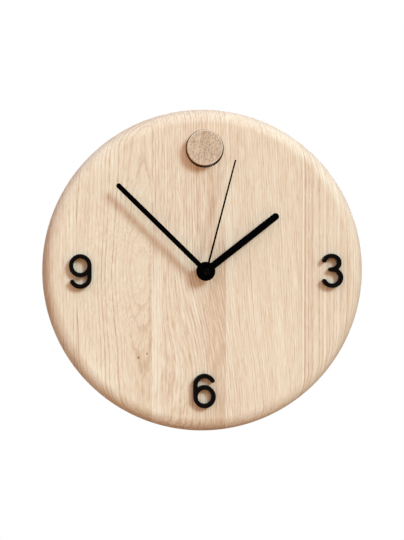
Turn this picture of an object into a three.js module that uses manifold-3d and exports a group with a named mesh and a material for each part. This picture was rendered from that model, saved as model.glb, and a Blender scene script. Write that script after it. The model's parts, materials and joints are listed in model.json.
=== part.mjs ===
// Round oak wall clock with a quartz movement, hung on a turned wall peg that stands in for the 12.
// Millimetres. +X to the right, +Z up, the dial looks along -Y, and the wall is the plane y = 0.
// The origin is the axis of the peg where it meets the wall.

import * as THREE from 'three';
import { mergeVertices } from 'three/addons/utils/BufferGeometryUtils.js';
import Module from 'manifold-3d';

const wasm = await Module();
wasm.setup();

// Oak body, edge-glued from upright staves
const bodyDiameter = 220;
const bodyThickness = 35;
const frontEdgeRound = 10;
const backEdgeRound = 8;
const staveWidth = 50.5;
const staveCount = 5;
const panelAside = -11;
const glueLine = 0.1;
const dialWeb = 6;

// Wall peg and the hole that hangs on it
const pegDiameter = 24;
const pegProud = 7;
const pegChamfer = 0.4;
const pegHoleSlack = 0.9;
const pegHoleFromEdge = 27;
const pegHangAside = 0.4;
const hangerBoltDiameter = 6;
const hangerBoltInPeg = 20;
const hangerBoltInWall = 28;
const hangerBoltPoint = 6;

// Numerals: raised monoline figures with two moulded pins each
const numeralWidth = 15.2;
const numeralHeight = 23.3;
const numeralStroke = 2.9;
const numeralProud = 4;
const numeralBevel = 0.35;
const numeralPinRadius = 1;
const numeralPinLength = 6;
const nineFromEdge = 25.7;
const threeFromEdge = 22.8;
const sixFromEdge = 28.5;
const sixAside = -0.4;

// Proportions of the figures, and where their strokes end, in degrees from +X
const nineBowlShare = 1.03;
const nineTailShare = 0.96;
const nineTailAngle = -152;
const threeUpperShare = 0.86;
const threeShiftShare = -0.1;
const threeLowerShare = 0.97;
const threeWaistShare = 0.08;
const threeBarShare = -0.2;
const threeTopAngle = 160;
const threeBottomAngle = -155;

// Hands, and their angles clockwise from 12
const hourHandLength = 62.5;
const hourHandWidth = 4.8;
const hourHandAngle = 52.1;
const hourBossDiameter = 13;
const minuteHandLength = 83.8;
const minuteHandWidth = 3.4;
const minuteHandAngle = 314.4;
const minuteBossDiameter = 11;
const secondHandLength = 77.5;
const secondHandRootWidth = 1.3;
const secondHandTipWidth = 1;
const secondHandAngle = 14.7;
const secondCapDiameter = 4.4;
const handThickness = 0.6;
const hourHandHeight = 7.2;
const minuteHandHeight = 9.2;
const secondHandHeight = 11.6;
const secondCapTop = 13.6;
const secondCapRound = 0.5;
const secondCapCollar = 0.9;
const secondShaftInCap = 0.4;
const handColletWall = 1.1;

// Movement case
const caseSide = 56;
const caseDepth = 16;
const caseWall = 1.5;
const casePlate = 1.2;
const caseCorner = 3;
const postRadius = 1.2;
const coverLip = 1.4;
const coverLipWall = 0.9;
const pocketClearance = 2.5;
const pocketCorner = 8;

// Fixing through the dial
const bushDiameter = 7.8;
const bushProud = 3.9;
const bushClearance = 0.4;
const rubberWasherThickness = 0.8;
const rubberWasherDiameter = 24;
const brassWasherThickness = 0.5;
const brassWasherDiameter = 11.4;
const nutAcrossFlats = 10;
const nutThickness = 2.2;

// Concentric shafts
const secondShaftRadius = 0.6;
const minuteTubeBore = 0.95;
const minuteTubeRadius = 1.7;
const hourPipeBore = 2;
const hourPipeRadius = 2.5;
const bushBore = 2.8;
const minuteTubeBeyondWheel = 0.4;
const clutchThickness = 0.3;
const clutchReach = 2.2;
const pivotRadius = 0.5;
const pivotReach = 0.6;
const pivotInset = 0.2;
const blindDepth = 0.8;
const settingShaftRadius = 1.25;

// Gaps: round a turning shaft, and between pieces that rest on each other
const runningGap = 0.15;
const seatGap = 0.3;

// How far a cutting shape runs past what it cuts
const overcut = 1;

// Tooth counts. Rotor to second hand 30:1, second to minute 60:1, minute to hour 12:1
const rotorPinionTeeth = 8;
const fifthWheelTeeth = 48;
const fifthPinionTeeth = 8;
const secondWheelTeeth = 40;
const secondPinionTeeth = 8;
const thirdWheelTeeth = 64;
const thirdPinionTeeth = 8;
const centreWheelTeeth = 60;
const cannonPinionTeeth = 12;
const motionWheelTeeth = 36;
const motionPinionTeeth = 10;
const hourWheelTeeth = 40;
const settingPinionTeeth = 12;
const settingTeethAway = 16;

// Tooth form: heights as a share of the module, half widths as a share of the pitch
const toothAbovePitch = 0.8;
const toothBelowPitch = 1.3;
const toothAtRoot = 0.3;
const toothAtTip = 0.11;

// Wheel spacing from the dial axis, and the modules that are chosen freely
const thirdWheelDistance = 10.2;
const fifthModule = 0.3;
const rotorModule = 0.25;
const motionModule = 0.45;
const wheelThickness = 0.8;
const pinionThickness = 1.2;

// Depths of the wheel layers, from the inside of the case's front plate
const hourLayer = 0.5;
const motionLayer = 2;
const clutchLayer = 3.15;
const centreLayer = 3.7;
const thirdLayer = 6;
const bridgeLayer = 7.4;
const bridgeThickness = 0.7;
const bridgeHalfWidth = 13.3;
const bridgeBottom = -7.8;
const bridgeTop = 18.7;
const bridgeCorner = 2;
const bridgePostInset = 1.8;
const secondLayer = 8.7;
const fifthLayer = 10.5;

// Stepping motor
const rotorMagnetRadius = 2.5;
const rotorMagnetThickness = 1.4;
const rotorMagnetLayer = 8.6;
const statorThickness = 0.8;
const statorWidth = 7.8;
const statorAirGap = 0.5;
const statorLeft = -22;
const statorRight = 11;
const statorBossInset = 3;
const coreLegWidth = 4;
const coreBarWidth = 3;
const coilRadius = 3;
const coilAxisZ = 22.1;
const coilLength = 20;
const bobbinRadius = 2.2;
const bobbinBore = 1.7;
const bobbinFlange = 1;
const windingBelowFlange = 0.2;

// Electronics
const boardWidth = 11;
const boardHeight = 24;
const boardThickness = 0.8;
const boardLayer = 3;
const boardCentreZ = 3.5;
const boardPostInset = 2;
const crystalRadius = 1;
const crystalLength = 6;
const crystalAside = 1.5;
const chipSide = 4;
const chipThickness = 1;

// Battery, size AA, and its bay
const cellDiameter = 14.2;
const cellLength = 50.2;
const cellNubLength = 1.1;
const cellNubRadius = 2.7;
const cellGap = 0.3;
const bayHeight = 15.4;
const bayDivider = 1.2;
const contactThickness = 0.4;
const contactWidth = 7;
const contactHeight = 9;

// Setting knob
const settingKnobRadius = 6;
const settingKnobThickness = 3;
const settingKnobRibs = 20;
const settingKnobRibDepth = 0.35;
const settingKnobClearance = 0.5;

// Smoothness of round pieces
const bodySegments = 96;
const roundSegments = 24;
const shaftSegments = 12;
const pivotSegments = 8;
const edgeSteps = 5;
const strokeSteps = 16;
const leafSteps = 8;
const bowlSteps = 36;
const bowlHoleSteps = 24;
const capSteps = 6;

// Places that follow from the sizes above
const bodyRadius = bodyDiameter / 2;
const pegHoleHeight = bodyRadius - pegHoleFromEdge;
const pegRadius = pegDiameter / 2;
const pegHoleRadius = pegRadius + pegHoleSlack;
const pegHangDrop = Math.sqrt((pegHoleSlack - seatGap) ** 2 - pegHangAside ** 2);
const dialX = pegHangAside;
const dialZ = -pegHangDrop - pegHoleHeight;
const faceY = -bodyThickness;
const pocketY = faceY + dialWeb;
const caseFrontY = pocketY + rubberWasherThickness;
const innerFrontY = caseFrontY + casePlate;
const caseRearY = caseFrontY + caseDepth;
const innerRearY = caseRearY - casePlate;
const half = caseSide / 2;
const innerHalf = half - caseWall;
const bayTopZ = -innerHalf + bayHeight;
const roomBottomZ = bayTopZ + bayDivider;
const bridgeY = innerFrontY + bridgeLayer;
const bridgeRearY = bridgeY + bridgeThickness;
const boardY = innerFrontY + boardLayer;
const statorFrontY = innerFrontY + rotorMagnetLayer + (rotorMagnetThickness - statorThickness) / 2;

// Colour, roughness and metalness of each finish
const finish = {
  oak: [0xe6cdb0, 0.62, 0],
  oakEnd: [0xc9ad8c, 0.7, 0],
  black: [0x0c0c0c, 0.5, 0],
  casePlastic: [0x17181a, 0.55, 0],
  coverPlastic: [0x202225, 0.5, 0],
  rubber: [0x1a1a1a, 0.85, 0],
  brass: [0xb9975a, 0.3, 1],
  steel: [0xaeb1b3, 0.35, 1],
  whitePlastic: [0xe8e6de, 0.45, 0],
  copper: [0xb5673a, 0.35, 1],
  board: [0x2f6b45, 0.5, 0],
  iron: [0x8d9195, 0.4, 1],
  cellJacket: [0x3c6d8c, 0.35, 0.2],
};

const group = new THREE.Group();
const clock = new THREE.Group();
clock.position.set(dialX, 0, dialZ);
group.add(clock);

// Adds one named piece to a group
function piece(name, shape, look, parent = clock) {
  const [color, roughness, metalness] = finish[look];
  const material = new THREE.MeshStandardMaterial({ color, roughness, metalness });
  const geometry = shape.isBufferGeometry ? shape : toGeometry(shape);
  geometry.computeVertexNormals();
  const mesh = new THREE.Mesh(geometry, material);
  mesh.name = name;
  parent.add(mesh);
  return mesh;
}

// Turns a closed three.js geometry into a solid that can be joined and cut
function toSolid(geometry) {
  const bare = geometry.clone();
  bare.deleteAttribute('normal');
  bare.deleteAttribute('uv');
  const merged = mergeVertices(bare, 1e-4);
  const vertProperties = new Float32Array(merged.attributes.position.array);
  const triVerts = new Uint32Array(merged.index.array);
  return new wasm.Manifold(new wasm.Mesh({ numProp: 3, vertProperties, triVerts }));
}

// Turns a solid back into a three.js geometry
function toGeometry(solid) {
  const mesh = solid.getMesh();
  const geometry = new THREE.BufferGeometry();
  geometry.setAttribute('position', new THREE.BufferAttribute(mesh.vertProperties, 3));
  geometry.setIndex(new THREE.BufferAttribute(mesh.triVerts, 1));
  return geometry;
}

const join = (...solids) => solids.reduce((sum, solid) => sum.add(solid));
const cut = (solid, ...tools) => tools.reduce((rest, tool) => rest.subtract(tool), solid);

// Cylinder along Y between two depths, at x, z
function rod(radius, y0, y1, x = 0, z = 0, segments = shaftSegments) {
  const geometry = new THREE.CylinderGeometry(radius, radius, Math.abs(y1 - y0), segments);
  geometry.translate(x, (y0 + y1) / 2, z);
  return toSolid(geometry);
}

// Cylinder along X
function barX(radius, x0, x1, y, z, segments = roundSegments) {
  const geometry = new THREE.CylinderGeometry(radius, radius, Math.abs(x1 - x0), segments);
  geometry.rotateZ(Math.PI / 2);
  geometry.translate((x0 + x1) / 2, y, z);
  return toSolid(geometry);
}

// Box between two corners
function block(x0, x1, y0, y1, z0, z1) {
  const geometry = new THREE.BoxGeometry(x1 - x0, y1 - y0, z1 - z0);
  geometry.translate((x0 + x1) / 2, (y0 + y1) / 2, (z0 + z1) / 2);
  return toSolid(geometry);
}

// Upright plate of a drawn outline, from yBack forwards by its thickness
function plateGeometry(shape, yBack, thickness, options = {}) {
  const geometry = new THREE.ExtrudeGeometry(shape, {
    depth: thickness,
    bevelEnabled: false,
    curveSegments: 12,
    ...options,
  });
  geometry.rotateX(Math.PI / 2);
  geometry.translate(0, yBack, 0);
  return geometry;
}

const plate = (shape, yBack, thickness, options) => toSolid(plateGeometry(shape, yBack, thickness, options));

// Solid turned about the Y axis; the profile is a list of [radius, y] from low y to high y
function turned(profile, segments = roundSegments) {
  const points = profile.map(([radius, y]) => new THREE.Vector2(radius, y));
  return toSolid(new THREE.LatheGeometry(points, segments));
}

// Rectangle with round corners
function roundedRectangle(x0, x1, z0, z1, radius) {
  const shape = new THREE.Shape();
  shape.moveTo(x0 + radius, z0);
  shape.lineTo(x1 - radius, z0);
  shape.absarc(x1 - radius, z0 + radius, radius, -Math.PI / 2, 0, false);
  shape.lineTo(x1, z1 - radius);
  shape.absarc(x1 - radius, z1 - radius, radius, 0, Math.PI / 2, false);
  shape.lineTo(x0 + radius, z1);
  shape.absarc(x0 + radius, z1 - radius, radius, Math.PI / 2, Math.PI, false);
  shape.lineTo(x0, z0 + radius);
  shape.absarc(x0 + radius, z0 + radius, radius, Math.PI, Math.PI * 1.5, false);
  return shape;
}

// Points of a quarter round from angle a0 to a1
function quarter(centreRadius, centreY, radius, a0, a1) {
  return Array.from({ length: edgeSteps + 1 }, (_, i) => {
    const angle = a0 + ((a1 - a0) * i) / edgeSteps;
    return [centreRadius + radius * Math.cos(angle), centreY + radius * Math.sin(angle)];
  });
}

// Toothed outline with a tooth centred on the given angle
function gearShape(teeth, module, toothAngle) {
  const pitch = (2 * Math.PI) / teeth;
  const tip = (module * (teeth + 2 * toothAbovePitch)) / 2;
  const root = (module * (teeth - 2 * toothBelowPitch)) / 2;
  const points = [];
  for (let i = 0; i < teeth; i += 1) {
    const centre = toothAngle + i * pitch;
    const corners = [[root, -toothAtRoot], [tip, -toothAtTip], [tip, toothAtTip], [root, toothAtRoot]];
    for (const [radius, share] of corners) {
      const angle = centre + share * pitch;
      points.push(new THREE.Vector2(radius * Math.cos(angle), radius * Math.sin(angle)));
    }
  }
  return new THREE.Shape(points);
}

// A gear as a solid at x, z, with its front at the given depth into the case
function gear(teeth, module, toothAngle, depth, thickness, [x, z] = [0, 0]) {
  const outline = gearShape(teeth, module, toothAngle);
  const geometry = plateGeometry(outline, innerFrontY + depth + thickness, thickness);
  geometry.translate(x, 0, z);
  return toSolid(geometry);
}

function polar(radius, angle, [x, z] = [0, 0]) {
  return [x + radius * Math.cos(angle), z + radius * Math.sin(angle)];
}

// Tooth angle that puts a gap towards the neighbour that lies in the opposite direction
const gapFacing = (angle, teeth) => angle + Math.PI + Math.PI / teeth;

// Wheel positions: each pair is in mesh at its own centre distance
const thirdDirection = Math.PI * 0.75;
const motionDirection = Math.PI * 0.25;
const fifthDirection = Math.PI * 0.5;
const rotorDirection = Math.PI * (2 / 3);
const thirdModule = (2 * thirdWheelDistance) / (secondPinionTeeth + thirdWheelTeeth);
const centreModule = (2 * thirdWheelDistance) / (thirdPinionTeeth + centreWheelTeeth);
const fifthSpacing = (fifthModule * (fifthPinionTeeth + secondWheelTeeth)) / 2;
const rotorSpacing = (rotorModule * (rotorPinionTeeth + fifthWheelTeeth)) / 2;
const motionSpacing = (motionModule * (cannonPinionTeeth + motionWheelTeeth)) / 2;
const hourModule = (2 * motionSpacing) / (motionPinionTeeth + hourWheelTeeth);
const settingSpacing = (motionModule * (settingPinionTeeth + motionWheelTeeth)) / 2;
const settingDirection = motionDirection + Math.PI + (settingTeethAway * 2 * Math.PI) / motionWheelTeeth;
const thirdPlace = polar(thirdWheelDistance, thirdDirection);
const motionPlace = polar(motionSpacing, motionDirection);
const fifthPlace = polar(fifthSpacing, fifthDirection);
const rotorPlace = polar(rotorSpacing, rotorDirection, fifthPlace);
const settingPlace = polar(settingSpacing, settingDirection, motionPlace);

// Oak body

function bodyBlank() {
  return turned([
    [0, faceY],
    ...quarter(bodyRadius - frontEdgeRound, faceY + frontEdgeRound, frontEdgeRound, -Math.PI / 2, 0),
    ...quarter(bodyRadius - backEdgeRound, -backEdgeRound, backEdgeRound, 0, Math.PI / 2),
    [0, 0],
  ], bodySegments);
}

const pocketHalf = half + pocketClearance;
const numeralPlaces = {
  three: [bodyRadius - threeFromEdge, 0],
  six: [sixAside, sixFromEdge - bodyRadius],
  nine: [nineFromEdge - bodyRadius, 0],
};

function numeralPinPlaces([x, z]) {
  const reach = numeralHeight / 2 - numeralStroke / 2;
  return [[x, z + reach], [x, z - reach]];
}

function bodyCuts() {
  const pocket = plate(
    roundedRectangle(-pocketHalf, pocketHalf, -pocketHalf, pocketHalf, pocketCorner),
    overcut,
    overcut - pocketY,
    { curveSegments: 5 },
  );
  const bushHoleRadius = bushDiameter / 2 + bushClearance;
  const bushHole = rod(bushHoleRadius, faceY - overcut, pocketY + overcut, 0, 0, roundSegments);
  const pegHole = rod(pegHoleRadius, faceY - overcut, overcut, 0, pegHoleHeight, roundSegments * 2);
  const pinHoles = Object.values(numeralPlaces).flatMap(numeralPinPlaces).map(([x, z]) => {
    const depth = numeralPinLength + seatGap;
    return rod(numeralPinRadius + runningGap, faceY - overcut, faceY + depth, x, z, pivotSegments);
  });
  return [pocket, bushHole, pegHole, ...pinHoles];
}

function buildStaves() {
  const body = cut(bodyBlank(), ...bodyCuts());
  const reach = bodyDiameter;
  const firstJointX = panelAside - (staveWidth * (staveCount - 2)) / 2;
  for (let i = 0; i < staveCount; i += 1) {
    const left = i === 0 ? -reach : firstJointX + (i - 1) * staveWidth + glueLine / 2;
    const right = i === staveCount - 1 ? reach : firstJointX + i * staveWidth - glueLine / 2;
    const slab = block(left, right, -reach, reach, -reach, reach);
    piece(`oak_stave_${i + 1}`, body.intersect(slab), 'oak');
  }
}

// Wall peg: a turned oak dowel, drilled from the back for the hanger bolt

function buildPeg() {
  const tipY = faceY - pegProud;
  const dowel = turned([
    [0, tipY],
    [pegRadius - pegChamfer, tipY],
    [pegRadius, tipY + pegChamfer],
    [pegRadius, 0],
    [0, 0],
  ], roundSegments * 2);
  const boltRadius = hangerBoltDiameter / 2;
  const pilot = rod(boltRadius + seatGap, -hangerBoltInPeg - seatGap, overcut, 0, 0, shaftSegments);
  piece('wall_peg', cut(dowel, pilot), 'oakEnd', group);
  piece('peg_hanger_bolt', turned([
    [0, -hangerBoltInPeg],
    [boltRadius, -hangerBoltInPeg],
    [boltRadius, hangerBoltInWall - hangerBoltPoint],
    [0, hangerBoltInWall],
  ], shaftSegments), 'steel', group);
}

// Numerals

// Outline of a pen stroke of even width with round ends along a centre line
function strokeShape(line, width) {
  const radius = width / 2;
  const left = [];
  const right = [];
  const heading = (i) => {
    const from = line[Math.max(i - 1, 0)];
    const to = line[Math.min(i + 1, line.length - 1)];
    return Math.atan2(to.y - from.y, to.x - from.x);
  };
  const around = (point, angle) => new THREE.Vector2(
    point.x + radius * Math.cos(angle),
    point.y + radius * Math.sin(angle),
  );
  line.forEach((point, i) => {
    left.push(around(point, heading(i) + Math.PI / 2));
    right.push(around(point, heading(i) - Math.PI / 2));
  });
  const cap = (point, start) => Array.from(
    { length: capSteps - 1 },
    (_, i) => around(point, start - ((i + 1) * Math.PI) / capSteps),
  );
  const last = line.length - 1;
  const endCap = cap(line[last], heading(last) + Math.PI / 2);
  const startCap = cap(line[0], heading(0) - Math.PI / 2);
  return new THREE.Shape([...left, ...endCap, ...right.reverse(), ...startCap].reverse());
}

// Closed ring of points on an ellipse
function ellipseRing(z, rx, rz, steps) {
  return ellipseLine(0, z, rx, rz, 0, 360 - 360 / steps, steps - 1);
}

// Points along an ellipse between two angles in degrees
function ellipseLine(x, z, rx, rz, from, to, steps) {
  return Array.from({ length: steps + 1 }, (_, i) => {
    const angle = THREE.MathUtils.degToRad(from + ((to - from) * i) / steps);
    return new THREE.Vector2(x + rx * Math.cos(angle), z + rz * Math.sin(angle));
  });
}

// Edge bevel on the front only: the back is cut flat where the figure sits on the dial
function raised(shape) {
  return plate(shape, faceY + numeralBevel, numeralProud, {
    bevelEnabled: true,
    bevelThickness: numeralBevel,
    bevelSize: numeralBevel,
    bevelOffset: -numeralBevel,
    bevelSegments: 1,
  });
}

function nineFigure() {
  const rx = (numeralWidth - numeralStroke) / 2;
  const top = (numeralHeight - numeralStroke) / 2;
  const bowlRz = rx * nineBowlShare;
  const bowlZ = top - bowlRz;
  const pen = numeralStroke / 2;
  const bowl = new THREE.Shape(ellipseRing(bowlZ, rx + pen, bowlRz + pen, bowlSteps));
  bowl.holes.push(new THREE.Path(ellipseRing(bowlZ, rx - pen, bowlRz - pen, bowlHoleSteps)));
  const tailRz = rx * nineTailShare;
  const tailZ = -top + tailRz;
  const tail = ellipseLine(0, tailZ, rx, tailRz, 0, nineTailAngle, strokeSteps);
  tail.unshift(new THREE.Vector2(rx, bowlZ));
  return [raised(bowl), raised(strokeShape(tail, numeralStroke))];
}

function threeFigure() {
  const top = (numeralHeight - numeralStroke) / 2;
  const reach = (numeralWidth - numeralStroke) / 2;
  const barZ = top * threeWaistShare;
  const upperRx = reach * threeUpperShare;
  const upperRz = (top - barZ) / 2;
  const upperX = upperRx * threeShiftShare;
  const lowerRx = reach * threeLowerShare;
  const lowerRz = (top + barZ) / 2;
  const barStart = new THREE.Vector2(upperRx * threeBarShare, barZ);
  const bowl = (x, z, rx, rz, from, to) => ellipseLine(x, z, rx, rz, from, to, strokeSteps);
  const upper = [...bowl(upperX, barZ + upperRz, upperRx, upperRz, threeTopAngle, -90), barStart];
  const lower = [barStart, ...bowl(0, barZ - lowerRz, lowerRx, lowerRz, 90, threeBottomAngle)];
  return [raised(strokeShape(upper, numeralStroke)), raised(strokeShape(lower, numeralStroke))];
}

function buildNumeral(name, figure, [x, z], turn) {
  const reach = numeralHeight / 2 - numeralStroke / 2;
  const pinFront = faceY - numeralProud / 2;
  const pinEnd = faceY + numeralPinLength;
  const pin = (pinZ) => rod(numeralPinRadius, pinFront, pinEnd, 0, pinZ, pivotSegments);
  const behind = block(-numeralWidth, numeralWidth, faceY, 0, -numeralHeight, numeralHeight);
  const solid = join(cut(join(...figure), behind), pin(reach), pin(-reach));
  const mesh = piece(name, solid, 'black');
  mesh.rotation.y = turn;
  mesh.position.set(x, 0, z);
}

function buildNumerals() {
  buildNumeral('numeral_three', threeFigure(), numeralPlaces.three, 0);
  buildNumeral('numeral_six', nineFigure(), numeralPlaces.six, Math.PI);
  buildNumeral('numeral_nine', nineFigure(), numeralPlaces.nine, 0);
}

// Movement case: front shell with threaded bush, and rear cover

const bridgePosts = [
  [-bridgeHalfWidth + bridgePostInset, bridgeBottom + bridgePostInset],
  [bridgeHalfWidth - bridgePostInset, bridgeBottom + bridgePostInset],
  [0, bridgeTop - postRadius],
];
const boardX = -innerHalf + seatGap + boardWidth / 2;
const boardPosts = [-1, 1].map((side) => [boardX, boardCentreZ + side * (boardHeight / 2 - boardPostInset)]);

function blindHole([x, z], yOpen, inward, radius = pivotRadius) {
  return rod(radius + runningGap, yOpen, yOpen + inward * blindDepth, x, z, pivotSegments);
}

function buildCaseFront() {
  const outline = roundedRectangle(-half, half, -half, half, caseCorner);
  const shell = plate(outline, caseRearY, caseDepth, { curveSegments: 4 });
  const beyond = caseRearY + overcut;
  const room = block(-innerHalf, innerHalf, innerFrontY, beyond, roomBottomZ, innerHalf);
  const rebate = block(-caseSide, caseSide, innerRearY, beyond, roomBottomZ - bayDivider / 2, caseSide);
  const bay = block(-innerHalf, innerHalf, innerFrontY, beyond, -innerHalf, bayTopZ);
  const bushFrontY = faceY - bushProud;
  const plateMid = innerFrontY - casePlate / 2;
  const bush = rod(bushDiameter / 2, bushFrontY, plateMid, 0, 0, roundSegments);
  const bore = rod(bushBore, bushFrontY - overcut, innerFrontY + overcut, 0, 0, shaftSegments);
  const posts = [
    ...bridgePosts.map(([x, z]) => rod(postRadius, plateMid, bridgeY, x, z, pivotSegments)),
    ...boardPosts.map(([x, z]) => rod(postRadius, plateMid, boardY, x, z, pivotSegments)),
  ];
  const pivots = [thirdPlace, motionPlace, settingPlace].map((place) => blindHole(place, innerFrontY, -1));
  const hollow = cut(shell, room, rebate, bay);
  piece('movement_case_front', cut(join(hollow, bush, ...posts), bore, ...pivots), 'casePlastic');
}

function buildCaseCover() {
  const bottom = roomBottomZ - bayDivider / 2 + seatGap;
  const shape = roundedRectangle(-half, half, bottom, half, caseCorner);
  const lid = plate(shape, caseRearY, casePlate, { curveSegments: 4 });
  const lipOut = innerHalf - seatGap;
  const lipBottom = roomBottomZ + seatGap;
  const lipY = innerRearY - coverLip;
  const lip = cut(
    block(-lipOut, lipOut, lipY, innerRearY + casePlate / 2, lipBottom, lipOut),
    block(
      -lipOut + coverLipWall, lipOut - coverLipWall, lipY - overcut, innerRearY,
      lipBottom + coverLipWall, lipOut - coverLipWall,
    ),
  );
  const settingHole = rod(
    settingShaftRadius + seatGap, innerRearY - overcut, caseRearY + overcut, ...settingPlace,
  );
  const pivots = [[0, 0], fifthPlace, rotorPlace].map((place, i) => (
    blindHole(place, innerRearY, 1, i === 0 ? secondShaftRadius : pivotRadius)));
  piece('movement_case_cover', cut(join(lid, lip), settingHole, ...pivots), 'coverPlastic');
}

// Fixing through the dial: rubber washer behind, brass washer and nut in front

function ring(outer, inner, y0, y1, segments = roundSegments) {
  return cut(rod(outer, y0, y1, 0, 0, segments), rod(inner, y0 - overcut, y1 + overcut, 0, 0, segments));
}

function buildFixing() {
  const hole = bushDiameter / 2 + seatGap;
  piece('rubber_washer', ring(rubberWasherDiameter / 2, hole, pocketY, caseFrontY), 'rubber');
  const washerFront = faceY - brassWasherThickness;
  piece('brass_washer', ring(brassWasherDiameter / 2, hole, washerFront, faceY), 'brass');
  const nutRadius = nutAcrossFlats / Math.sqrt(3);
  const nut = cut(
    rod(nutRadius, washerFront - nutThickness, washerFront, 0, 0, 6),
    rod(hole, washerFront - nutThickness - overcut, washerFront + overcut, 0, 0, roundSegments),
  );
  piece('fixing_nut', nut, 'brass');
}

// Going train, from the stepping rotor to the centre wheel

const pinionOffset = (pinionThickness - wheelThickness) / 2;

// A pinion stands out a little on both sides of the wheel that it drives, in that wheel's layer
function pinionGear(teeth, module, toothAngle, layer, place) {
  return gear(teeth, module, toothAngle, layer - pinionOffset, pinionThickness, place);
}

// Arbor between the front shell and the bridge, and between the bridge and the cover
function frontArbor([x, z]) {
  return rod(pivotRadius, innerFrontY - pivotReach, bridgeRearY - pivotInset, x, z, pivotSegments);
}

function rearArbor([x, z]) {
  return rod(pivotRadius, bridgeY + pivotInset, innerRearY + pivotReach, x, z, pivotSegments);
}

function buildRotor() {
  const arbor = rearArbor(rotorPlace);
  const magnetY = innerFrontY + rotorMagnetLayer;
  const magnetRearY = magnetY + rotorMagnetThickness;
  const magnet = rod(rotorMagnetRadius, magnetY, magnetRearY, ...rotorPlace, roundSegments);
  const facing = gapFacing(rotorDirection, rotorPinionTeeth);
  const pinion = pinionGear(rotorPinionTeeth, rotorModule, facing, fifthLayer, rotorPlace);
  piece('stepper_rotor', join(arbor, magnet, pinion), 'iron');
}

function buildFifthWheel() {
  const arbor = rearArbor(fifthPlace);
  const wheel = gear(fifthWheelTeeth, rotorModule, rotorDirection, fifthLayer, wheelThickness, fifthPlace);
  const facing = gapFacing(fifthDirection, fifthPinionTeeth);
  const pinion = pinionGear(fifthPinionTeeth, fifthModule, facing, secondLayer, fifthPlace);
  piece('fifth_wheel', join(arbor, wheel, pinion), 'whitePlastic');
}

function buildSecondWheel() {
  const shaftFront = faceY - secondHandHeight - handThickness - secondShaftInCap;
  const arbor = rod(secondShaftRadius, shaftFront, innerRearY + pivotReach);
  const wheel = gear(secondWheelTeeth, fifthModule, fifthDirection, secondLayer, wheelThickness);
  const pinion = pinionGear(secondPinionTeeth, thirdModule, thirdDirection, thirdLayer);
  piece('second_wheel', join(arbor, wheel, pinion), 'whitePlastic');
}

function buildThirdWheel() {
  const arbor = frontArbor(thirdPlace);
  const wheelFacing = gapFacing(thirdDirection, thirdWheelTeeth);
  const wheel = gear(thirdWheelTeeth, thirdModule, wheelFacing, thirdLayer, wheelThickness, thirdPlace);
  const pinionFacing = gapFacing(thirdDirection, thirdPinionTeeth);
  const pinion = pinionGear(thirdPinionTeeth, centreModule, pinionFacing, centreLayer, thirdPlace);
  piece('third_wheel', join(arbor, wheel, pinion), 'whitePlastic');
}

function buildCentreWheel() {
  const wheel = gear(centreWheelTeeth, centreModule, thirdDirection, centreLayer, wheelThickness);
  const bore = rod(minuteTubeRadius + runningGap, innerFrontY, innerRearY);
  piece('centre_wheel', cut(wheel, bore), 'whitePlastic');
}

// Motion work: minute arbor, slipping clutch, motion wheel, hour wheel and setting knob

function buildMinuteArbor() {
  const rearEnd = innerFrontY + centreLayer + wheelThickness + minuteTubeBeyondWheel;
  const frontEnd = faceY - minuteHandHeight - handThickness;
  const tube = rod(minuteTubeRadius, frontEnd, rearEnd);
  const pinion = pinionGear(cannonPinionTeeth, motionModule, motionDirection, motionLayer);
  const bore = rod(minuteTubeBore, frontEnd - overcut, rearEnd + overcut);
  piece('minute_arbor', cut(join(tube, pinion), bore), 'brass');
}

function buildClutchSpring() {
  const front = innerFrontY + clutchLayer;
  const spring = cut(
    rod(minuteTubeRadius + clutchReach, front, front + clutchThickness, 0, 0, 6),
    rod(minuteTubeRadius + runningGap, front - overcut, front + overcut),
  );
  piece('clutch_spring', spring, 'steel');
}

function buildMotionWheel() {
  const arbor = frontArbor(motionPlace);
  const wheelFacing = gapFacing(motionDirection, motionWheelTeeth);
  const wheel = gear(motionWheelTeeth, motionModule, wheelFacing, motionLayer, wheelThickness, motionPlace);
  const pinionFacing = gapFacing(motionDirection, motionPinionTeeth);
  const pinionFront = hourLayer - pinionOffset;
  const pinionLength = motionLayer + pinionOffset - pinionFront;
  const pinion = gear(motionPinionTeeth, hourModule, pinionFacing, pinionFront, pinionLength, motionPlace);
  piece('motion_wheel', join(arbor, wheel, pinion), 'whitePlastic');
}

function buildHourWheel() {
  const rear = innerFrontY + hourLayer + wheelThickness;
  const frontEnd = faceY - hourHandHeight - handThickness;
  const pipe = rod(hourPipeRadius, frontEnd, rear);
  const wheel = gear(hourWheelTeeth, hourModule, motionDirection, hourLayer, wheelThickness);
  const bore = rod(hourPipeBore, frontEnd - overcut, rear + overcut);
  piece('hour_wheel', cut(join(pipe, wheel), bore), 'whitePlastic');
}

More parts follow.
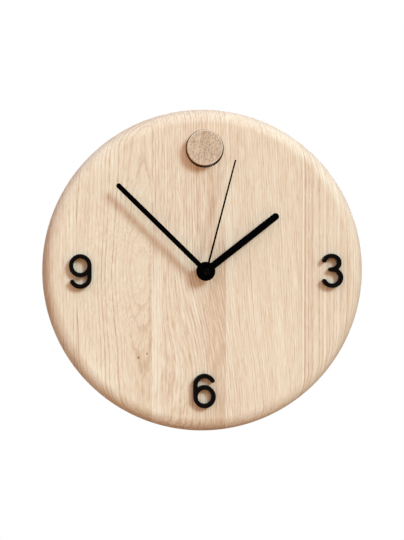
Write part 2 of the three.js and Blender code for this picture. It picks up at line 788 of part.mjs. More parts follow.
function buildSettingKnob() {
  const knobFront = caseRearY + settingKnobClearance;
  const knobRear = knobFront + settingKnobThickness;
  const knobMid = (knobFront + knobRear) / 2;
  const shaftFront = innerFrontY + motionLayer;
  const pivotFront = innerFrontY - pivotReach;
  const pivot = rod(pivotRadius, pivotFront, shaftFront + wheelThickness, ...settingPlace, pivotSegments);
  const shaft = rod(settingShaftRadius, shaftFront, knobMid, ...settingPlace);
  const wheelTooth = gapFacing(motionDirection, motionWheelTeeth);
  const wheelToothOff = phaseOf(settingDirection, wheelTooth, motionWheelTeeth);
  const toothAngle = gapFacing(settingDirection, settingPinionTeeth)
    + (wheelToothOff * 2 * Math.PI) / settingPinionTeeth;
  const pinion = pinionGear(settingPinionTeeth, motionModule, toothAngle, motionLayer, settingPlace);
  const ribs = Array.from({ length: settingKnobRibs * 2 }, (_, i) => {
    const radius = settingKnobRadius - (i % 2) * settingKnobRibDepth;
    const [x, z] = polar(radius, (i * Math.PI) / settingKnobRibs, settingPlace);
    return new THREE.Vector2(x, z);
  });
  const knob = plate(new THREE.Shape(ribs), knobRear, settingKnobThickness);
  piece('setting_knob', join(pivot, shaft, pinion, knob), 'casePlastic');
}

// Share of a tooth pitch by which a direction misses the nearest tooth
function phaseOf(direction, toothAngle, teeth) {
  const pitches = ((direction - toothAngle) * teeth) / (2 * Math.PI);
  return pitches - Math.round(pitches);
}

// Bridge plate between the wheel layers, carried on posts of the front shell

function buildBridge() {
  const shape = roundedRectangle(-bridgeHalfWidth, bridgeHalfWidth, bridgeBottom, bridgeTop, bridgeCorner);
  const base = plate(shape, bridgeRearY, bridgeThickness, { curveSegments: 3 });
  const y0 = bridgeY - overcut;
  const y1 = bridgeRearY + overcut;
  const holes = [thirdPlace, motionPlace, fifthPlace, rotorPlace]
    .map(([x, z]) => rod(pivotRadius + runningGap, y0, y1, x, z, pivotSegments));
  const centre = rod(secondShaftRadius + seatGap, y0, y1, 0, 0, pivotSegments);
  const bossBase = bridgeY + bridgeThickness / 2;
  const bosses = [-bridgeHalfWidth + statorBossInset, statorRight - statorBossInset]
    .map((x) => rod(postRadius, bossBase, statorFrontY, x, rotorPlace[1], pivotSegments));
  piece('bridge_plate', cut(join(base, ...bosses), ...holes, centre), 'whitePlastic');
}

// Stepping motor: stator, core and coil

function buildMotor() {
  const statorRear = statorFrontY + statorThickness;
  const [rotorX, rotorZ] = rotorPlace;
  const z0 = rotorZ - statorWidth / 2;
  const holeRadius = rotorMagnetRadius + statorAirGap;
  const stator = cut(
    block(statorLeft, statorRight, statorFrontY, statorRear, z0, z0 + statorWidth),
    rod(holeRadius, statorFrontY - overcut, statorRear + overcut, rotorX, rotorZ, roundSegments),
  );
  piece('stator', stator, 'iron');

  const coreRear = statorRear + statorThickness;
  const legBottom = rotorZ + statorWidth / 2 - coreLegWidth;
  const barBottom = coilAxisZ - coreBarWidth / 2;
  const core = join(
    block(statorLeft, statorRight, statorRear, coreRear, barBottom, barBottom + coreBarWidth),
    block(statorLeft, statorLeft + coreLegWidth, statorRear, coreRear, legBottom, coilAxisZ),
    block(statorRight - coreLegWidth, statorRight, statorRear, coreRear, legBottom, coilAxisZ),
  );
  piece('coil_core', core, 'iron');

  const coilY = (statorRear + coreRear) / 2;
  const coilMid = (statorLeft + statorRight) / 2;
  const x0 = coilMid - coilLength / 2;
  const x1 = coilMid + coilLength / 2;
  const bobbin = cut(
    join(
      barX(bobbinRadius, x0, x1, coilY, coilAxisZ),
      barX(coilRadius, x0, x0 + bobbinFlange, coilY, coilAxisZ),
      barX(coilRadius, x1 - bobbinFlange, x1, coilY, coilAxisZ),
    ),
    barX(bobbinBore, x0 - overcut, x1 + overcut, coilY, coilAxisZ),
  );
  piece('coil_bobbin', bobbin, 'whitePlastic');

  const wound0 = x0 + bobbinFlange + seatGap / 2;
  const wound1 = x1 - bobbinFlange - seatGap / 2;
  const winding = cut(
    barX(coilRadius - windingBelowFlange, wound0, wound1, coilY, coilAxisZ),
    barX(bobbinRadius + runningGap, wound0 - overcut, wound1 + overcut, coilY, coilAxisZ),
  );
  piece('coil_winding', winding, 'copper');
}

// Electronics: board, quartz crystal in its can, and the driver chip

function buildElectronics() {
  const [x, z] = [boardX, boardCentreZ];
  const front = boardY;
  const rear = front + boardThickness;
  const [wide, tall] = [boardWidth / 2, boardHeight / 2];
  piece('circuit_board', block(x - wide, x + wide, front, rear, z - tall, z + tall), 'board');
  const can = new THREE.CylinderGeometry(crystalRadius, crystalRadius, crystalLength, shaftSegments);
  can.rotateX(Math.PI / 2);
  can.translate(x - crystalAside, rear + crystalRadius, z + tall / 2);
  piece('quartz_crystal', toSolid(can), 'steel');
  const chipZ = z - tall / 2;
  const side = chipSide / 2;
  const chip = block(x - side, x + side, rear, rear + chipThickness, chipZ - side, chipZ + side);
  piece('driver_chip', chip, 'black');
}

// Battery and its two sprung contacts

const cellRadius = cellDiameter / 2;
const cellY = innerFrontY + cellGap + cellRadius;
const cellZ = (bayTopZ - innerHalf) / 2;
const cellRight = innerHalf - contactThickness - 2 * seatGap;
const cellLeft = cellRight - cellLength;

function buildBattery() {
  const shoulder = cellRight - cellNubLength;
  const cell = join(
    barX(cellRadius, cellLeft, shoulder, cellY, cellZ),
    barX(cellNubRadius, shoulder - cellNubLength, cellRight, cellY, cellZ, shaftSegments),
  );
  piece('battery_cell', cell, 'cellJacket');
}

function buildContacts() {
  const y0 = cellY - contactHeight / 2;
  const y1 = cellY + contactHeight / 2;
  const z0 = cellZ - contactWidth / 2;
  const z1 = cellZ + contactWidth / 2;
  const wallX = innerHalf - seatGap / 2;
  piece('contact_positive', block(wallX - contactThickness, wallX, y0, y1, z0, z1), 'steel');

  // The negative leaf leaves the end wall at both ends and bows towards the cell
  const bow = cellLeft - seatGap / 2 - contactThickness + wallX;
  const near = [];
  const far = [];
  for (let i = 0; i <= leafSteps; i += 1) {
    const share = i / leafSteps;
    const y = y0 + (y1 - y0) * share;
    const x = -wallX + bow * Math.sin(Math.PI * share) ** 2;
    near.push(new THREE.Vector2(x, -y));
    far.push(new THREE.Vector2(x + contactThickness, -y));
  }
  const leaf = new THREE.ExtrudeGeometry(new THREE.Shape([...near, ...far.reverse()]), {
    depth: contactWidth,
    bevelEnabled: false,
  });
  leaf.rotateX(Math.PI);
  leaf.translate(0, 0, z1);
  piece('contact_negative', leaf, 'steel');
}

// Hands: a pressed blade with a round boss and a collet that grips its shaft

function bladeShape(length, rootWidth, tipWidth, bossRadius) {
  const tip = tipWidth / 2;
  const root = rootWidth / 2;
  const shape = new THREE.Shape();
  const meet = Math.asin(root / bossRadius);
  shape.absarc(0, 0, bossRadius, Math.PI / 2 + meet, Math.PI * 2.5 - meet, false);
  shape.lineTo(tip, length - tip);
  shape.absarc(0, length - tip, tip, 0, Math.PI, false);
  return shape;
}

function turnedTo(mesh, degrees) {
  mesh.rotation.y = THREE.MathUtils.degToRad(degrees);
}

// A hand's collet reaches down to just above what lies under it
function buildHand(name, shape, height, heightBelow, shaftRadius, angle) {
  const rear = faceY - height;
  const front = rear - handThickness;
  const bore = shaftRadius + runningGap;
  const blade = plate(shape, rear, handThickness);
  const colletRear = faceY - heightBelow - seatGap;
  const collet = rod(bore + handColletWall, front, colletRear, 0, 0, roundSegments);
  const hole = rod(bore, front - overcut, colletRear + overcut);
  turnedTo(piece(name, cut(join(blade, collet), hole), 'black'), angle);
}

function buildHourHand() {
  const shape = bladeShape(hourHandLength, hourHandWidth, hourHandWidth, hourBossDiameter / 2);
  buildHand('hour_hand', shape, hourHandHeight, bushProud, hourPipeRadius, hourHandAngle);
}

function buildMinuteHand() {
  const shape = bladeShape(minuteHandLength, minuteHandWidth, minuteHandWidth, minuteBossDiameter / 2);
  const below = hourHandHeight + handThickness;
  buildHand('minute_hand', shape, minuteHandHeight, below, minuteTubeRadius, minuteHandAngle);
}

function buildSecondHand() {
  const capRadius = secondCapDiameter / 2;
  const rear = faceY - secondHandHeight;
  const shape = bladeShape(secondHandLength, secondHandRootWidth, secondHandTipWidth, capRadius);
  const needle = plate(shape, rear, handThickness, { curveSegments: 8 });
  const capFront = faceY - secondCapTop;
  const capRear = rear + secondCapCollar;
  const cap = turned([
    [0, capFront],
    [capRadius - secondCapRound, capFront],
    [capRadius, capFront + secondCapRound],
    [capRadius, capRear],
    [0, capRear],
  ]);
  const boreEnd = rear - handThickness - secondShaftInCap - seatGap;
  const bore = rod(secondShaftRadius + runningGap, boreEnd, capRear + overcut);
  turnedTo(piece('second_hand', cut(join(needle, cap), bore), 'black'), secondHandAngle);
}

buildStaves();
buildPeg();
buildNumerals();
buildCaseFront();
buildCaseCover();
buildFixing();
buildRotor();
buildFifthWheel();
buildSecondWheel();
buildThirdWheel();
buildCentreWheel();
buildMinuteArbor();
buildClutchSpring();
buildMotionWheel();
buildHourWheel();
buildSettingKnob();
buildBridge();
buildMotor();
buildElectronics();
buildBattery();
buildContacts();
buildHourHand();
buildMinuteHand();
buildSecondHand();

export default group;
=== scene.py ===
"""Round oak wall clock: its looks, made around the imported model.

Metres. +X to the right, +Z up, the dial looks along -Y and the wall is the plane y = 0.
"""

import json
import logging
import math
from dataclasses import dataclass
from enum import Enum
from typing import Callable, Iterable, Sequence, Union

import bmesh
import bpy
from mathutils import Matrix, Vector


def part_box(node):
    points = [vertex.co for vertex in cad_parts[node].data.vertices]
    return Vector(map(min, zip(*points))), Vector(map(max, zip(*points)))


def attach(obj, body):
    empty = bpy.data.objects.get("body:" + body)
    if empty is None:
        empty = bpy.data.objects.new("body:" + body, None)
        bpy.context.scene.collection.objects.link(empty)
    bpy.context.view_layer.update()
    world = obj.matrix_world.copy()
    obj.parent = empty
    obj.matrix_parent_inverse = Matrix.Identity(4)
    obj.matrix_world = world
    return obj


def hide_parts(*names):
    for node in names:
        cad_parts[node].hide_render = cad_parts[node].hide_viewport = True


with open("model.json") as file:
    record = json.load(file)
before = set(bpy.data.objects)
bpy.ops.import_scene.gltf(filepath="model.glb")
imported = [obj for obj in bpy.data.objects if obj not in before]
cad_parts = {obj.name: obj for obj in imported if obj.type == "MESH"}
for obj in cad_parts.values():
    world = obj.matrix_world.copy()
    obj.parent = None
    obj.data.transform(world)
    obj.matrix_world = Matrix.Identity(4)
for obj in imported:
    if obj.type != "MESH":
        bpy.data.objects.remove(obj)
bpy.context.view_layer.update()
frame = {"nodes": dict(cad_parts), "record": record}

logging.basicConfig(level=logging.INFO, format="%(message)s")
log = logging.getLogger("wall_clock")

MM = 0.001
Point = tuple[float, float]
Place = tuple[float, float, float]
Colour = tuple[float, float, float, float]

DIAL = next(
    Vector(joint["pos_m"])
    for joint in frame["record"]["behaviour"]["joints"]
    if joint["name"] == "minute_turn"
)
DIAL_AXIS = (DIAL.x, DIAL.z)
FACE_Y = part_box("oak_stave_3")[0].y
PEG_AXIS = (0.0, 0.0)


def srgb(*channels: float) -> Colour:
    """Turns a colour as a screen shows it into the linear one that a shader takes.

    Args:
        channels: red, green and blue, 0 to 255.

    Returns:
        The linear colour with alpha 1.
    """
    shares = [channel / 255 for channel in channels]
    red, green, blue = (s / 12.92 if s <= 0.04045 else ((s + 0.055) / 1.055) ** 2.4 for s in shares)
    return red, green, blue, 1.0


# Shader maths


class Value:
    """A shader socket that Python's operators join into shader maths."""

    def __init__(self, graph: "Graph", socket: bpy.types.NodeSocket) -> None:
        """Wraps one output socket of a graph's node."""
        self.graph = graph
        self.socket = socket

    def __add__(self, other: "Operand") -> "Value":
        """Gives self + other."""
        return self.graph.math("ADD", self, other)

    __radd__ = __add__

    def __sub__(self, other: "Operand") -> "Value":
        """Gives self - other."""
        return self.graph.math("SUBTRACT", self, other)

    def __rsub__(self, other: "Operand") -> "Value":
        """Gives other - self."""
        return self.graph.math("SUBTRACT", other, self)

    def __mul__(self, other: "Operand") -> "Value":
        """Gives self * other."""
        return self.graph.math("MULTIPLY", self, other)

    def __truediv__(self, other: "Operand") -> "Value":
        """Gives self / other."""
        return self.graph.math("DIVIDE", self, other)

    def fraction(self) -> "Value":
        """Gives the part after the decimal point."""
        return self.graph.math("FRACT", self)

    def root(self) -> "Value":
        """Gives the square root."""
        return self.graph.math("SQRT", self)

    def most(self, other: "Operand") -> "Value":
        """Gives the larger of self and other."""
        return self.graph.math("MAXIMUM", self, other)

    def rise(self, start: float, end: float) -> "Value":
        """Gives a smooth step.

        Args:
            start: where it is 0.
            end: where it is 1, which may lie below start.

        Returns:
            The step's height, 0 to 1.
        """
        low, high = sorted(((start, 0.0), (end, 1.0)))
        inputs = {0: self, 1: low[0], 2: high[0], 3: low[1], 4: high[1]}
        return self.graph.out("ShaderNodeMapRange", inputs, interpolation_type="SMOOTHSTEP")


Operand = Union[Value, float]
Socket = Union[Value, float, Colour]
Axes = tuple[Value, Value, Value]


class Graph:
    """The nodes of one material or world."""

    def __init__(self, tree: bpy.types.NodeTree) -> None:
        """Empties the tree and starts anew."""
        self.tree = tree
        tree.nodes.clear()

    def add(
        self, kind: str, inputs: dict[str | int, Socket] | None = None, **settings: object,
    ) -> bpy.types.Node:
        """Adds a node.

        Args:
            kind: the node's type.
            inputs: values or links, by the socket's name or number.
            settings: the node's own properties, set before its sockets.

        Returns:
            The node.
        """
        node = self.tree.nodes.new(kind)
        for name, value in settings.items():
            setattr(node, name, value)
        for key, value in (inputs or {}).items():
            if isinstance(value, Value):
                self.tree.links.new(value.socket, node.inputs[key])
            else:
                node.inputs[key].default_value = value
        return node

    def out(
        self, kind: str, inputs: dict[str | int, Socket] | None = None, key: str | int = 0,
        **settings: object,
    ) -> Value:
        """Adds a node and gives one of its outputs, by name or number."""
        return Value(self, self.add(kind, inputs, **settings).outputs[key])

    def math(self, operation: str, *operands: Operand) -> Value:
        """Adds a Math node on numbers or links."""
        return self.out("ShaderNodeMath", dict(enumerate(operands)), operation=operation)

    def split(self, at: Value) -> Axes:
        """Gives the three parts of a vector."""
        node = self.add("ShaderNodeSeparateXYZ", {0: at})
        return Value(self, node.outputs[0]), Value(self, node.outputs[1]), Value(self, node.outputs[2])

    def place(self, x: float = 0.0, y: float = 0.0, z: float = 0.0) -> Axes:
        """Gives how far the shaded point lies from an origin, along X, Y and Z in millimetres."""
        at = self.split(self.out("ShaderNodeTexCoord", key="Object"))
        return (at[0] - x) * (1 / MM), (at[1] - y) * (1 / MM), (at[2] - z) * (1 / MM)

    def noise(self, x: Operand, y: Operand, z: Operand, detail: float = 2.0, roughness: float = 0.5) -> Value:
        """Gives smooth noise, about 0.5 on average, with one lump per unit along each way.

        Args:
            x: the first way.
            y: the second way.
            z: the third way.
            detail: how many finer layers it has.
            roughness: how strong the finer layers are.

        Returns:
            The noise, 0 to 1.
        """
        at = self.out("ShaderNodeCombineXYZ", {0: x, 1: y, 2: z})
        inputs = {"Vector": at, "Scale": 1.0, "Detail": detail, "Roughness": roughness}
        return self.out("ShaderNodeTexNoise", inputs)

    def cloud(self, at: Axes, per_mm: float) -> Value:
        """Gives noise with as many lumps to the millimetre along every way."""
        return self.noise(at[0] * per_mm, at[1] * per_mm, at[2] * per_mm)

    def blend(self, factor: Operand, first: Socket, second: Socket, mode: str = "MIX") -> Value:
        """Mixes two colours.

        Args:
            factor: 0 for the first colour, 1 for the second.
            first: the first colour.
            second: the second colour.
            mode: how they are mixed.

        Returns:
            The mixed colour.
        """
        inputs = {0: factor, 6: first, 7: second}
        return self.out("ShaderNodeMix", inputs, 2, data_type="RGBA", blend_type=mode, clamp_factor=True)


@dataclass
class Surface:
    """What a finish feeds to the shader; depth is the height of the relief in millimetres."""

    colour: Socket
    roughness: Operand
    relief: Value
    depth: float
    shine: float
    metallic: float = 0.0
    strength: float = 0.5


@dataclass(frozen=True)
class Finish:
    """One finish of the clock. Each kind gives its own surface."""

    name: str
    slot: str

    def surface(self, graph: Graph) -> Surface:
        """Works out the finish in shader nodes.

        Args:
            graph: the graph of its material.

        Returns:
            What it feeds to the shader.
        """
        raise NotImplementedError

    def material(self) -> bpy.types.Material:
        """Makes the finish's material, or gives the one that is already made."""
        made = bpy.data.materials.get(self.name)
        if made:
            return made
        made = bpy.data.materials.new(self.name)
        made.use_nodes = True
        graph = Graph(made.node_tree)
        surface = self.surface(graph)
        bump = graph.out("ShaderNodeBump", {
            "Strength": surface.strength, "Distance": surface.depth * MM, "Height": surface.relief,
        })
        shader = graph.out("ShaderNodeBsdfPrincipled", {
            "Base Color": surface.colour,
            "Roughness": surface.roughness,
            "Metallic": surface.metallic,
            "Specular IOR Level": surface.shine,
            "Normal": bump,
        })
        graph.add("ShaderNodeOutputMaterial", {"Surface": shader})
        return made


@dataclass(frozen=True)
class Knot:
    """A pin knot: where it lies on the dial and its size, in millimetres."""

    x: float
    z: float
    radius: float


@dataclass(frozen=True)
class Shade:
    """A darker or paler stretch of a board: it grows from start to end in x and from top to bottom in z. Some
    are the wood's own tone; those at the turned edge are painted light and painted shade.
    """

    amount: float
    start: float
    end: float
    top: float = 200.0
    bottom: float = 199.0


@dataclass(frozen=True)
class Streak:
    """A darker or paler line along the grain, at x on the dial, between two heights."""

    amount: float
    x: float
    half_width: float
    top: float = 120.0
    bottom: float = -120.0


@dataclass(frozen=True)
class Lean:
    """Where the grain of a board runs aside on its way down, in millimetres on the dial."""

    top: float
    bottom: float
    aside: float
    still: float
    full: float


@dataclass(frozen=True)
class OakBoard(Finish):
    """Soap-finished pale oak of one board, with the run of its growth rings.

    The rings are tubes about the pith, a line in front of the dial. Lengths in millimetres.
    """

    seed: float = 0.0
    pith_aside: float = 0.0
    pith_depth: float = 60.0
    ring_width: float = 3.0
    ring_start: float = 0.0
    lean: Lean = Lean(90.0, -90.0, 0.0, -110.0, 110.0)
    tilt: float = 0.0
    slant: float = 0.0
    swell: float = 0.0
    swell_height: float = 0.0
    swell_length: float = 25.0
    waver: float = 0.7
    ring_contrast: float = 0.5
    pore_contrast: float = 0.5
    fibre_contrast: float = 1.0
    tone: Colour = srgb(255, 255, 255)
    knots: tuple[Knot, ...] = ()
    shades: tuple[Shade, ...] = ()
    streaks: tuple[Streak, ...] = ()

    sway: float = 5.0
    ripple: float = 3.0
    turned_from: float = 1.0
    turned_to: float = 7.0
    pale: Colour = srgb(250, 238, 217)
    plain: Colour = srgb(240, 220, 195)
    warm: Colour = srgb(220, 190, 161)
    line: Colour = srgb(200, 158, 128)
    pore: Colour = srgb(168, 126, 99)
    knot: Colour = srgb(120, 74, 52)
    low_edge_grey_painted_shade: Colour = srgb(236, 226, 214)
    high_edge_grey_painted_light: Colour = srgb(238, 232, 234)

    def tree(self, graph: Graph, x: Value, y: Value, z: Value) -> Axes:
        """Follows the grain of the board.

        Args:
            graph: the graph of its material.
            x: the point's place to the right on the dial.
            y: its depth behind the dial.
            z: its height on the dial.

        Returns:
            The way across the grain, the way out of the pith and the way round it.
        """
        aside = z.rise(self.lean.top, self.lean.bottom) * x.rise(self.lean.still, self.lean.full)
        across = x - aside * self.lean.aside + z * self.tilt + y * self.slant
        sway = graph.noise(x * 0.03, y * 0.03 + self.seed, z * 0.011) - 0.5
        across = across + sway * self.sway * self.waver
        height = z - self.swell_height
        steep = height * height
        swell = steep / (steep + self.swell_length * self.swell_length) * self.swell
        ripple = graph.noise(x * 0.12, y * 0.12 + self.seed, z * 0.05) - 0.5
        deep = y + swell + self.pith_depth + ripple * self.ripple * self.waver
        side = across - self.pith_aside
        around = graph.math("ARCTAN2", side, deep) * (self.pith_depth + 15.0)
        return across, (side * side + deep * deep).root(), around

    def early_wood(self, graph: Graph, out: Value, around: Value, z: Value) -> Value:
        """Works out how porous the wood is: most at a ring's start, and more in some years.

        Args:
            graph: the graph of its material.
            out: the way out of the pith.
            around: the way round it.
            z: the height on the dial.

        Returns:
            The share of pores.
        """
        count = out / self.ring_width + self.ring_start
        ring = count.fraction()
        year = graph.noise(count * 0.83, self.seed, z * 0.004, 1.0)
        chain = graph.noise(count * 1.3, around * 0.3, z * 0.13 + self.seed, 1.0)
        early = (1.0 - ring.rise(0.1, 0.5)) * ring.rise(0.0, 0.12)
        return early * ((year - 0.34) * 3.2).most(0.2) * (chain.rise(0.3, 0.66) * 0.6 + 0.45)

    def tones_and_painted_shade(self, x: Value, z: Value, across: Value) -> Iterable[Value]:
        """Gives how much darker each shade and streak makes the board: the streaks and most shades are the
        wood's own tone, the shades at the turned edge are painted light and painted shade.

        Args:
            x: the point's place to the right on the dial.
            z: its height on the dial.
            across: the way across the grain.

        Returns:
            What each of them adds, one by one.
        """
        for shade in self.shades:
            yield x.rise(shade.start, shade.end) * z.rise(shade.top, shade.bottom) * shade.amount
        for streak in self.streaks:
            apart = across - streak.x
            share = (apart * apart).root().rise(streak.half_width * 1.6, streak.half_width * 0.4)
            fade = 0.2 * (streak.top - streak.bottom)
            ends = z.rise(streak.top, streak.top - fade) * z.rise(streak.bottom, streak.bottom + fade)
            yield share * ends * streak.amount

    def turned(self, graph: Graph, colour: Value, x: Value, y: Value, z: Value) -> Value:
        """Greys the turned edge, where the fibres are cut across, and roughens its colour. The grey also
        holds painted shade and painted light: warmer and darker towards the bottom, cooler and paler towards
        the top.

        Args:
            graph: the graph of its material.
            colour: the board's colour.
            x: the point's place to the right on the dial.
            y: its depth behind the dial.
            z: its height on the dial.

        Returns:
            The colour with its edge.
        """
        share = y.rise(self.turned_from, self.turned_to)
        # Painted shade and light: the edge's grey runs from warmer and darker at the bottom to cooler and
        # paler at the top.
        edge_grey_and_painted_light = graph.blend(z.rise(-90.0, 90.0), self.low_edge_grey_painted_shade, self.high_edge_grey_painted_light)
        colour = graph.blend(share * 0.8, colour, edge_grey_and_painted_light, "MULTIPLY")
        fibres = graph.noise(x * 1.3, y * 1.3, z * 1.3 + self.seed, 1.0)
        return graph.blend(share * fibres.rise(0.48, 0.68) * 0.3, colour, self.line)

    def surface(self, graph: Graph) -> Surface:
        """Works out rings, fibres and pores through the whole board."""
        x, y, z = graph.place(DIAL.x, FACE_Y, DIAL.z)
        across, out, around = self.tree(graph, x, y, z)
        early = self.early_wood(graph, out, around, z)
        broad = graph.noise(across * 0.1, y * 0.1 + self.seed, z * 0.007) - 0.5
        coarse = graph.noise(out * 0.7, around * 0.35, z * 0.024 + self.seed) - 0.5
        fine = graph.noise(out * 2.2, around * 1.5 + self.seed, z * 0.09) - 0.5
        shade = 0.48 + broad * 0.5 + (coarse * 0.7 + fine * 1.95) * self.fibre_contrast
        # Streaks and most shades are the wood's own tone; the shades at the turned edge are painted light and
        # painted shade.
        for tone_or_painted_shade_step in self.tones_and_painted_shade(x, z, across):
            shade = shade + tone_or_painted_shade_step
        colour = graph.blend(shade.rise(0.0, 0.5), self.pale, self.plain)
        colour = graph.blend(shade.rise(0.5, 1.1), colour, self.warm)
        colour = graph.blend(early * self.ring_contrast, colour, self.line)
        dash = graph.noise(out * 1.9 + self.seed, around * 1.6, z * 0.24, 1.0)
        pores = dash.rise(0.6, 0.74) * (early * 0.8 + 0.3)
        colour = graph.blend(pores * self.pore_contrast, colour, self.pore)
        for knot in self.knots:
            aside, above = x - knot.x, z - knot.z
            away = (aside * aside + above * above * 0.6).root()
            colour = graph.blend(away.rise(knot.radius * 1.6, knot.radius * 0.3) * 0.8, colour, self.knot)
        colour = graph.blend(1.0, colour, self.tone, "MULTIPLY")
        colour = self.turned(graph, colour, x, y, z)
        relief = fine * 0.8 + coarse * 0.3 - pores * 0.8
        return Surface(colour, 0.56 + early * 0.12, relief, depth=0.08, shine=0.2)


@dataclass(frozen=True)
class OakDowel(Finish):
    """Oak of the peg, whose grain runs along Y, so that its face shows end grain. Lengths in millimetres."""

    radius: float = 12.0
    proud: float = 7.0
    painted_rim_highlight_from: float = 11.2
    painted_rim_highlight_to: float = 11.65
    pale: Colour = srgb(228, 204, 177)
    dark: Colour = srgb(190, 160, 131)
    pore: Colour = srgb(122, 90, 68)
    painted_rim_highlight: Colour = srgb(250, 238, 220)
    side: Colour = srgb(214, 180, 147)
    side_dark: Colour = srgb(176, 134, 101)

    def surface(self, graph: Graph) -> Surface:
        """Works out the rings and pores across the dowel, the pale ring round its face's edge, which is a
        painted highlight, and its darker side.
        """
        x, y, z = graph.place(y=FACE_Y)
        sway = graph.noise(x * 0.1, y * 0.02, z * 0.05) - 0.5
        speck = graph.noise(x * 2.6, y * 0.05, z * 0.9, 2.0, 0.6) - 0.5
        streak = graph.noise(x * 1.2 + sway * 2.0, y * 0.02, z * 0.12) - 0.5
        middle = (x * x).root().rise(3.5, 0.5)
        shade = streak * 1.5 + speck * 2.3 + middle * 0.16 + 0.42
        colour = graph.blend(shade.rise(0.0, 1.0), self.pale, self.dark)
        pores = graph.noise(x * 2.2, y * 0.06, z * 0.85 + 7.0, 1.0).rise(0.55, 0.68)
        colour = graph.blend(pores * 0.55, colour, self.pore)
        out = (x * x + z * z).root()
        # Painted highlight: a pale ring all round the edge of the face.
        colour = graph.blend(out.rise(self.painted_rim_highlight_from, self.painted_rim_highlight_to) * 0.5, colour, self.painted_rim_highlight)
        along = graph.noise(x * 1.1, y * 0.05, z * 1.1, 3.0, 0.6)
        side = graph.blend(along.rise(0.3, 0.75), self.side, self.side_dark)
        turned = out.rise(self.radius - 0.6, self.radius - 0.2) * (y + self.proud).rise(0.3, 1.2)
        colour = graph.blend(turned, colour, side)
        return Surface(colour, 0.72, speck * 0.5 - pores, depth=0.12, shine=0.15)


@dataclass(frozen=True)
class Moulded(Finish):
    """Satin plastic or paint; grain is the size of its texture's lumps and depth their height, in mm."""

    colour: Colour
    worn: Colour
    roughness: float
    grain: float
    depth: float
    shine: float

    def surface(self, graph: Graph) -> Surface:
        """Works out the even texture and the faint cloudiness."""
        at = graph.place()
        lumps = graph.cloud(at, 1 / self.grain)
        tint = (graph.cloud(at, 0.25) - 0.5) * 1.6 + (lumps - 0.5) * 1.2 + 0.4
        colour = graph.blend(tint.rise(0.0, 1.0), self.colour, self.worn)
        return Surface(colour, self.roughness + (lumps - 0.5) * 0.2, lumps, self.depth, self.shine)


@dataclass(frozen=True)
class Turned(Finish):
    """Metal with fine marks from turning about an axis along Y, and faint tarnish."""

    colour: Colour
    tarnish: Colour
    roughness: float
    centre: Point = PEG_AXIS

    def surface(self, graph: Graph) -> Surface:
        """Works out the rings of the turning marks about the axis at centre."""
        x, y, z = at = graph.place(self.centre[0], 0.0, self.centre[1])
        marks = graph.noise((x * x + z * z).root() * 6.0, y * 6.0, 0.0)
        cloud = graph.cloud(at, 0.5) - 0.5
        colour = graph.blend((cloud * 2.5 + 0.35).rise(0.0, 1.0), self.colour, self.tarnish)
        rough = self.roughness + (marks - 0.5) * 0.25 + cloud * 0.2
        return Surface(colour, rough, marks, depth=0.01, shine=0.5, metallic=1.0, strength=0.4)


@dataclass(frozen=True)
class Sheet(Finish):
    """Rolled or plated sheet metal, brushed along X."""

    colour: Colour
    dull: Colour
    roughness: float

    def surface(self, graph: Graph) -> Surface:
        """Works out the brush marks and the dull patches."""
        x, y, z = at = graph.place()
        marks = graph.noise(x * 0.4, y * 7.0, z * 7.0)
        cloud = graph.cloud(at, 0.4) - 0.5
        colour = graph.blend((cloud * 2.0 + 0.4).rise(0.0, 1.0), self.colour, self.dull)
        rough = self.roughness + (marks - 0.5) * 0.3
        return Surface(colour, rough, marks, depth=0.01, shine=0.5, metallic=1.0, strength=0.4)


@dataclass(frozen=True)
class Sleeve(Finish):
    """Shrunk plastic sleeve of the cell: one plain colour with a paler band towards its plus end."""

    colour: Colour = srgb(74, 92, 112)
    faded: Colour = srgb(88, 106, 126)
    band: Colour = srgb(188, 192, 196)
    band_from: float = 10.0
    band_to: float = 19.0
    band_edge: float = 0.15

    def surface(self, graph: Graph) -> Surface:
        """Works out the band and the faint wrinkles of the sleeve."""
        x, y, z = at = graph.place(*DIAL)
        cloud = graph.cloud(at, 0.3)
        wrinkle = graph.noise(x * 0.35, y * 2.0, z * 2.0)
        colour = graph.blend(cloud.rise(0.3, 0.7), self.colour, self.faded)
        band = x.rise(self.band_from - self.band_edge, self.band_from + self.band_edge)
        band = band * x.rise(self.band_to + self.band_edge, self.band_to - self.band_edge)
        colour = graph.blend(band, colour, self.band)
        return Surface(colour, 0.3 + (cloud - 0.5) * 0.2, wrinkle, depth=0.02, shine=0.45, strength=0.12)


# Mesh making


class Ends(Enum):
    """What becomes of the first and the last ring of a skin."""

    CAPPED = "capped"
    JOINED = "joined"
    OPEN = "open"


class Boolean(Enum):
    """What one solid does to another."""

    ADD = "UNION"
    CUT = "DIFFERENCE"
    KEEP = "INTERSECT"


def polar(centre: Point, radius: float, angle: float) -> Point:
    """Gives the point at a distance and an angle in radians from a centre."""
    return centre[0] + radius * math.cos(angle), centre[1] + radius * math.sin(angle)


def ring_of(centre: Point, radius: float, segments: int, start: float = 0.0) -> list[Point]:
    """Gives points round a circle, from +X towards +Z."""
    step = 2 * math.pi / segments
    return [polar(centre, radius, start + i * step) for i in range(segments)]


def arc(centre: Point, radii: float | Point, start: float, end: float, steps: int) -> list[Point]:
    """Gives points along a part of a circle or an ellipse.

    Args:
        centre: its centre.
        radii: its radius, or the two of an ellipse.
        start: the first angle in degrees.
        end: the last one.
        steps: how many steps lie between them.

    Returns:
        The points, both ends included.
    """
    wide, tall = radii if isinstance(radii, tuple) else (radii, radii)
    angles = [math.radians(start + (end - start) * i / steps) for i in range(steps + 1)]
    return [(centre[0] + wide * math.cos(a), centre[1] + tall * math.sin(a)) for a in angles]


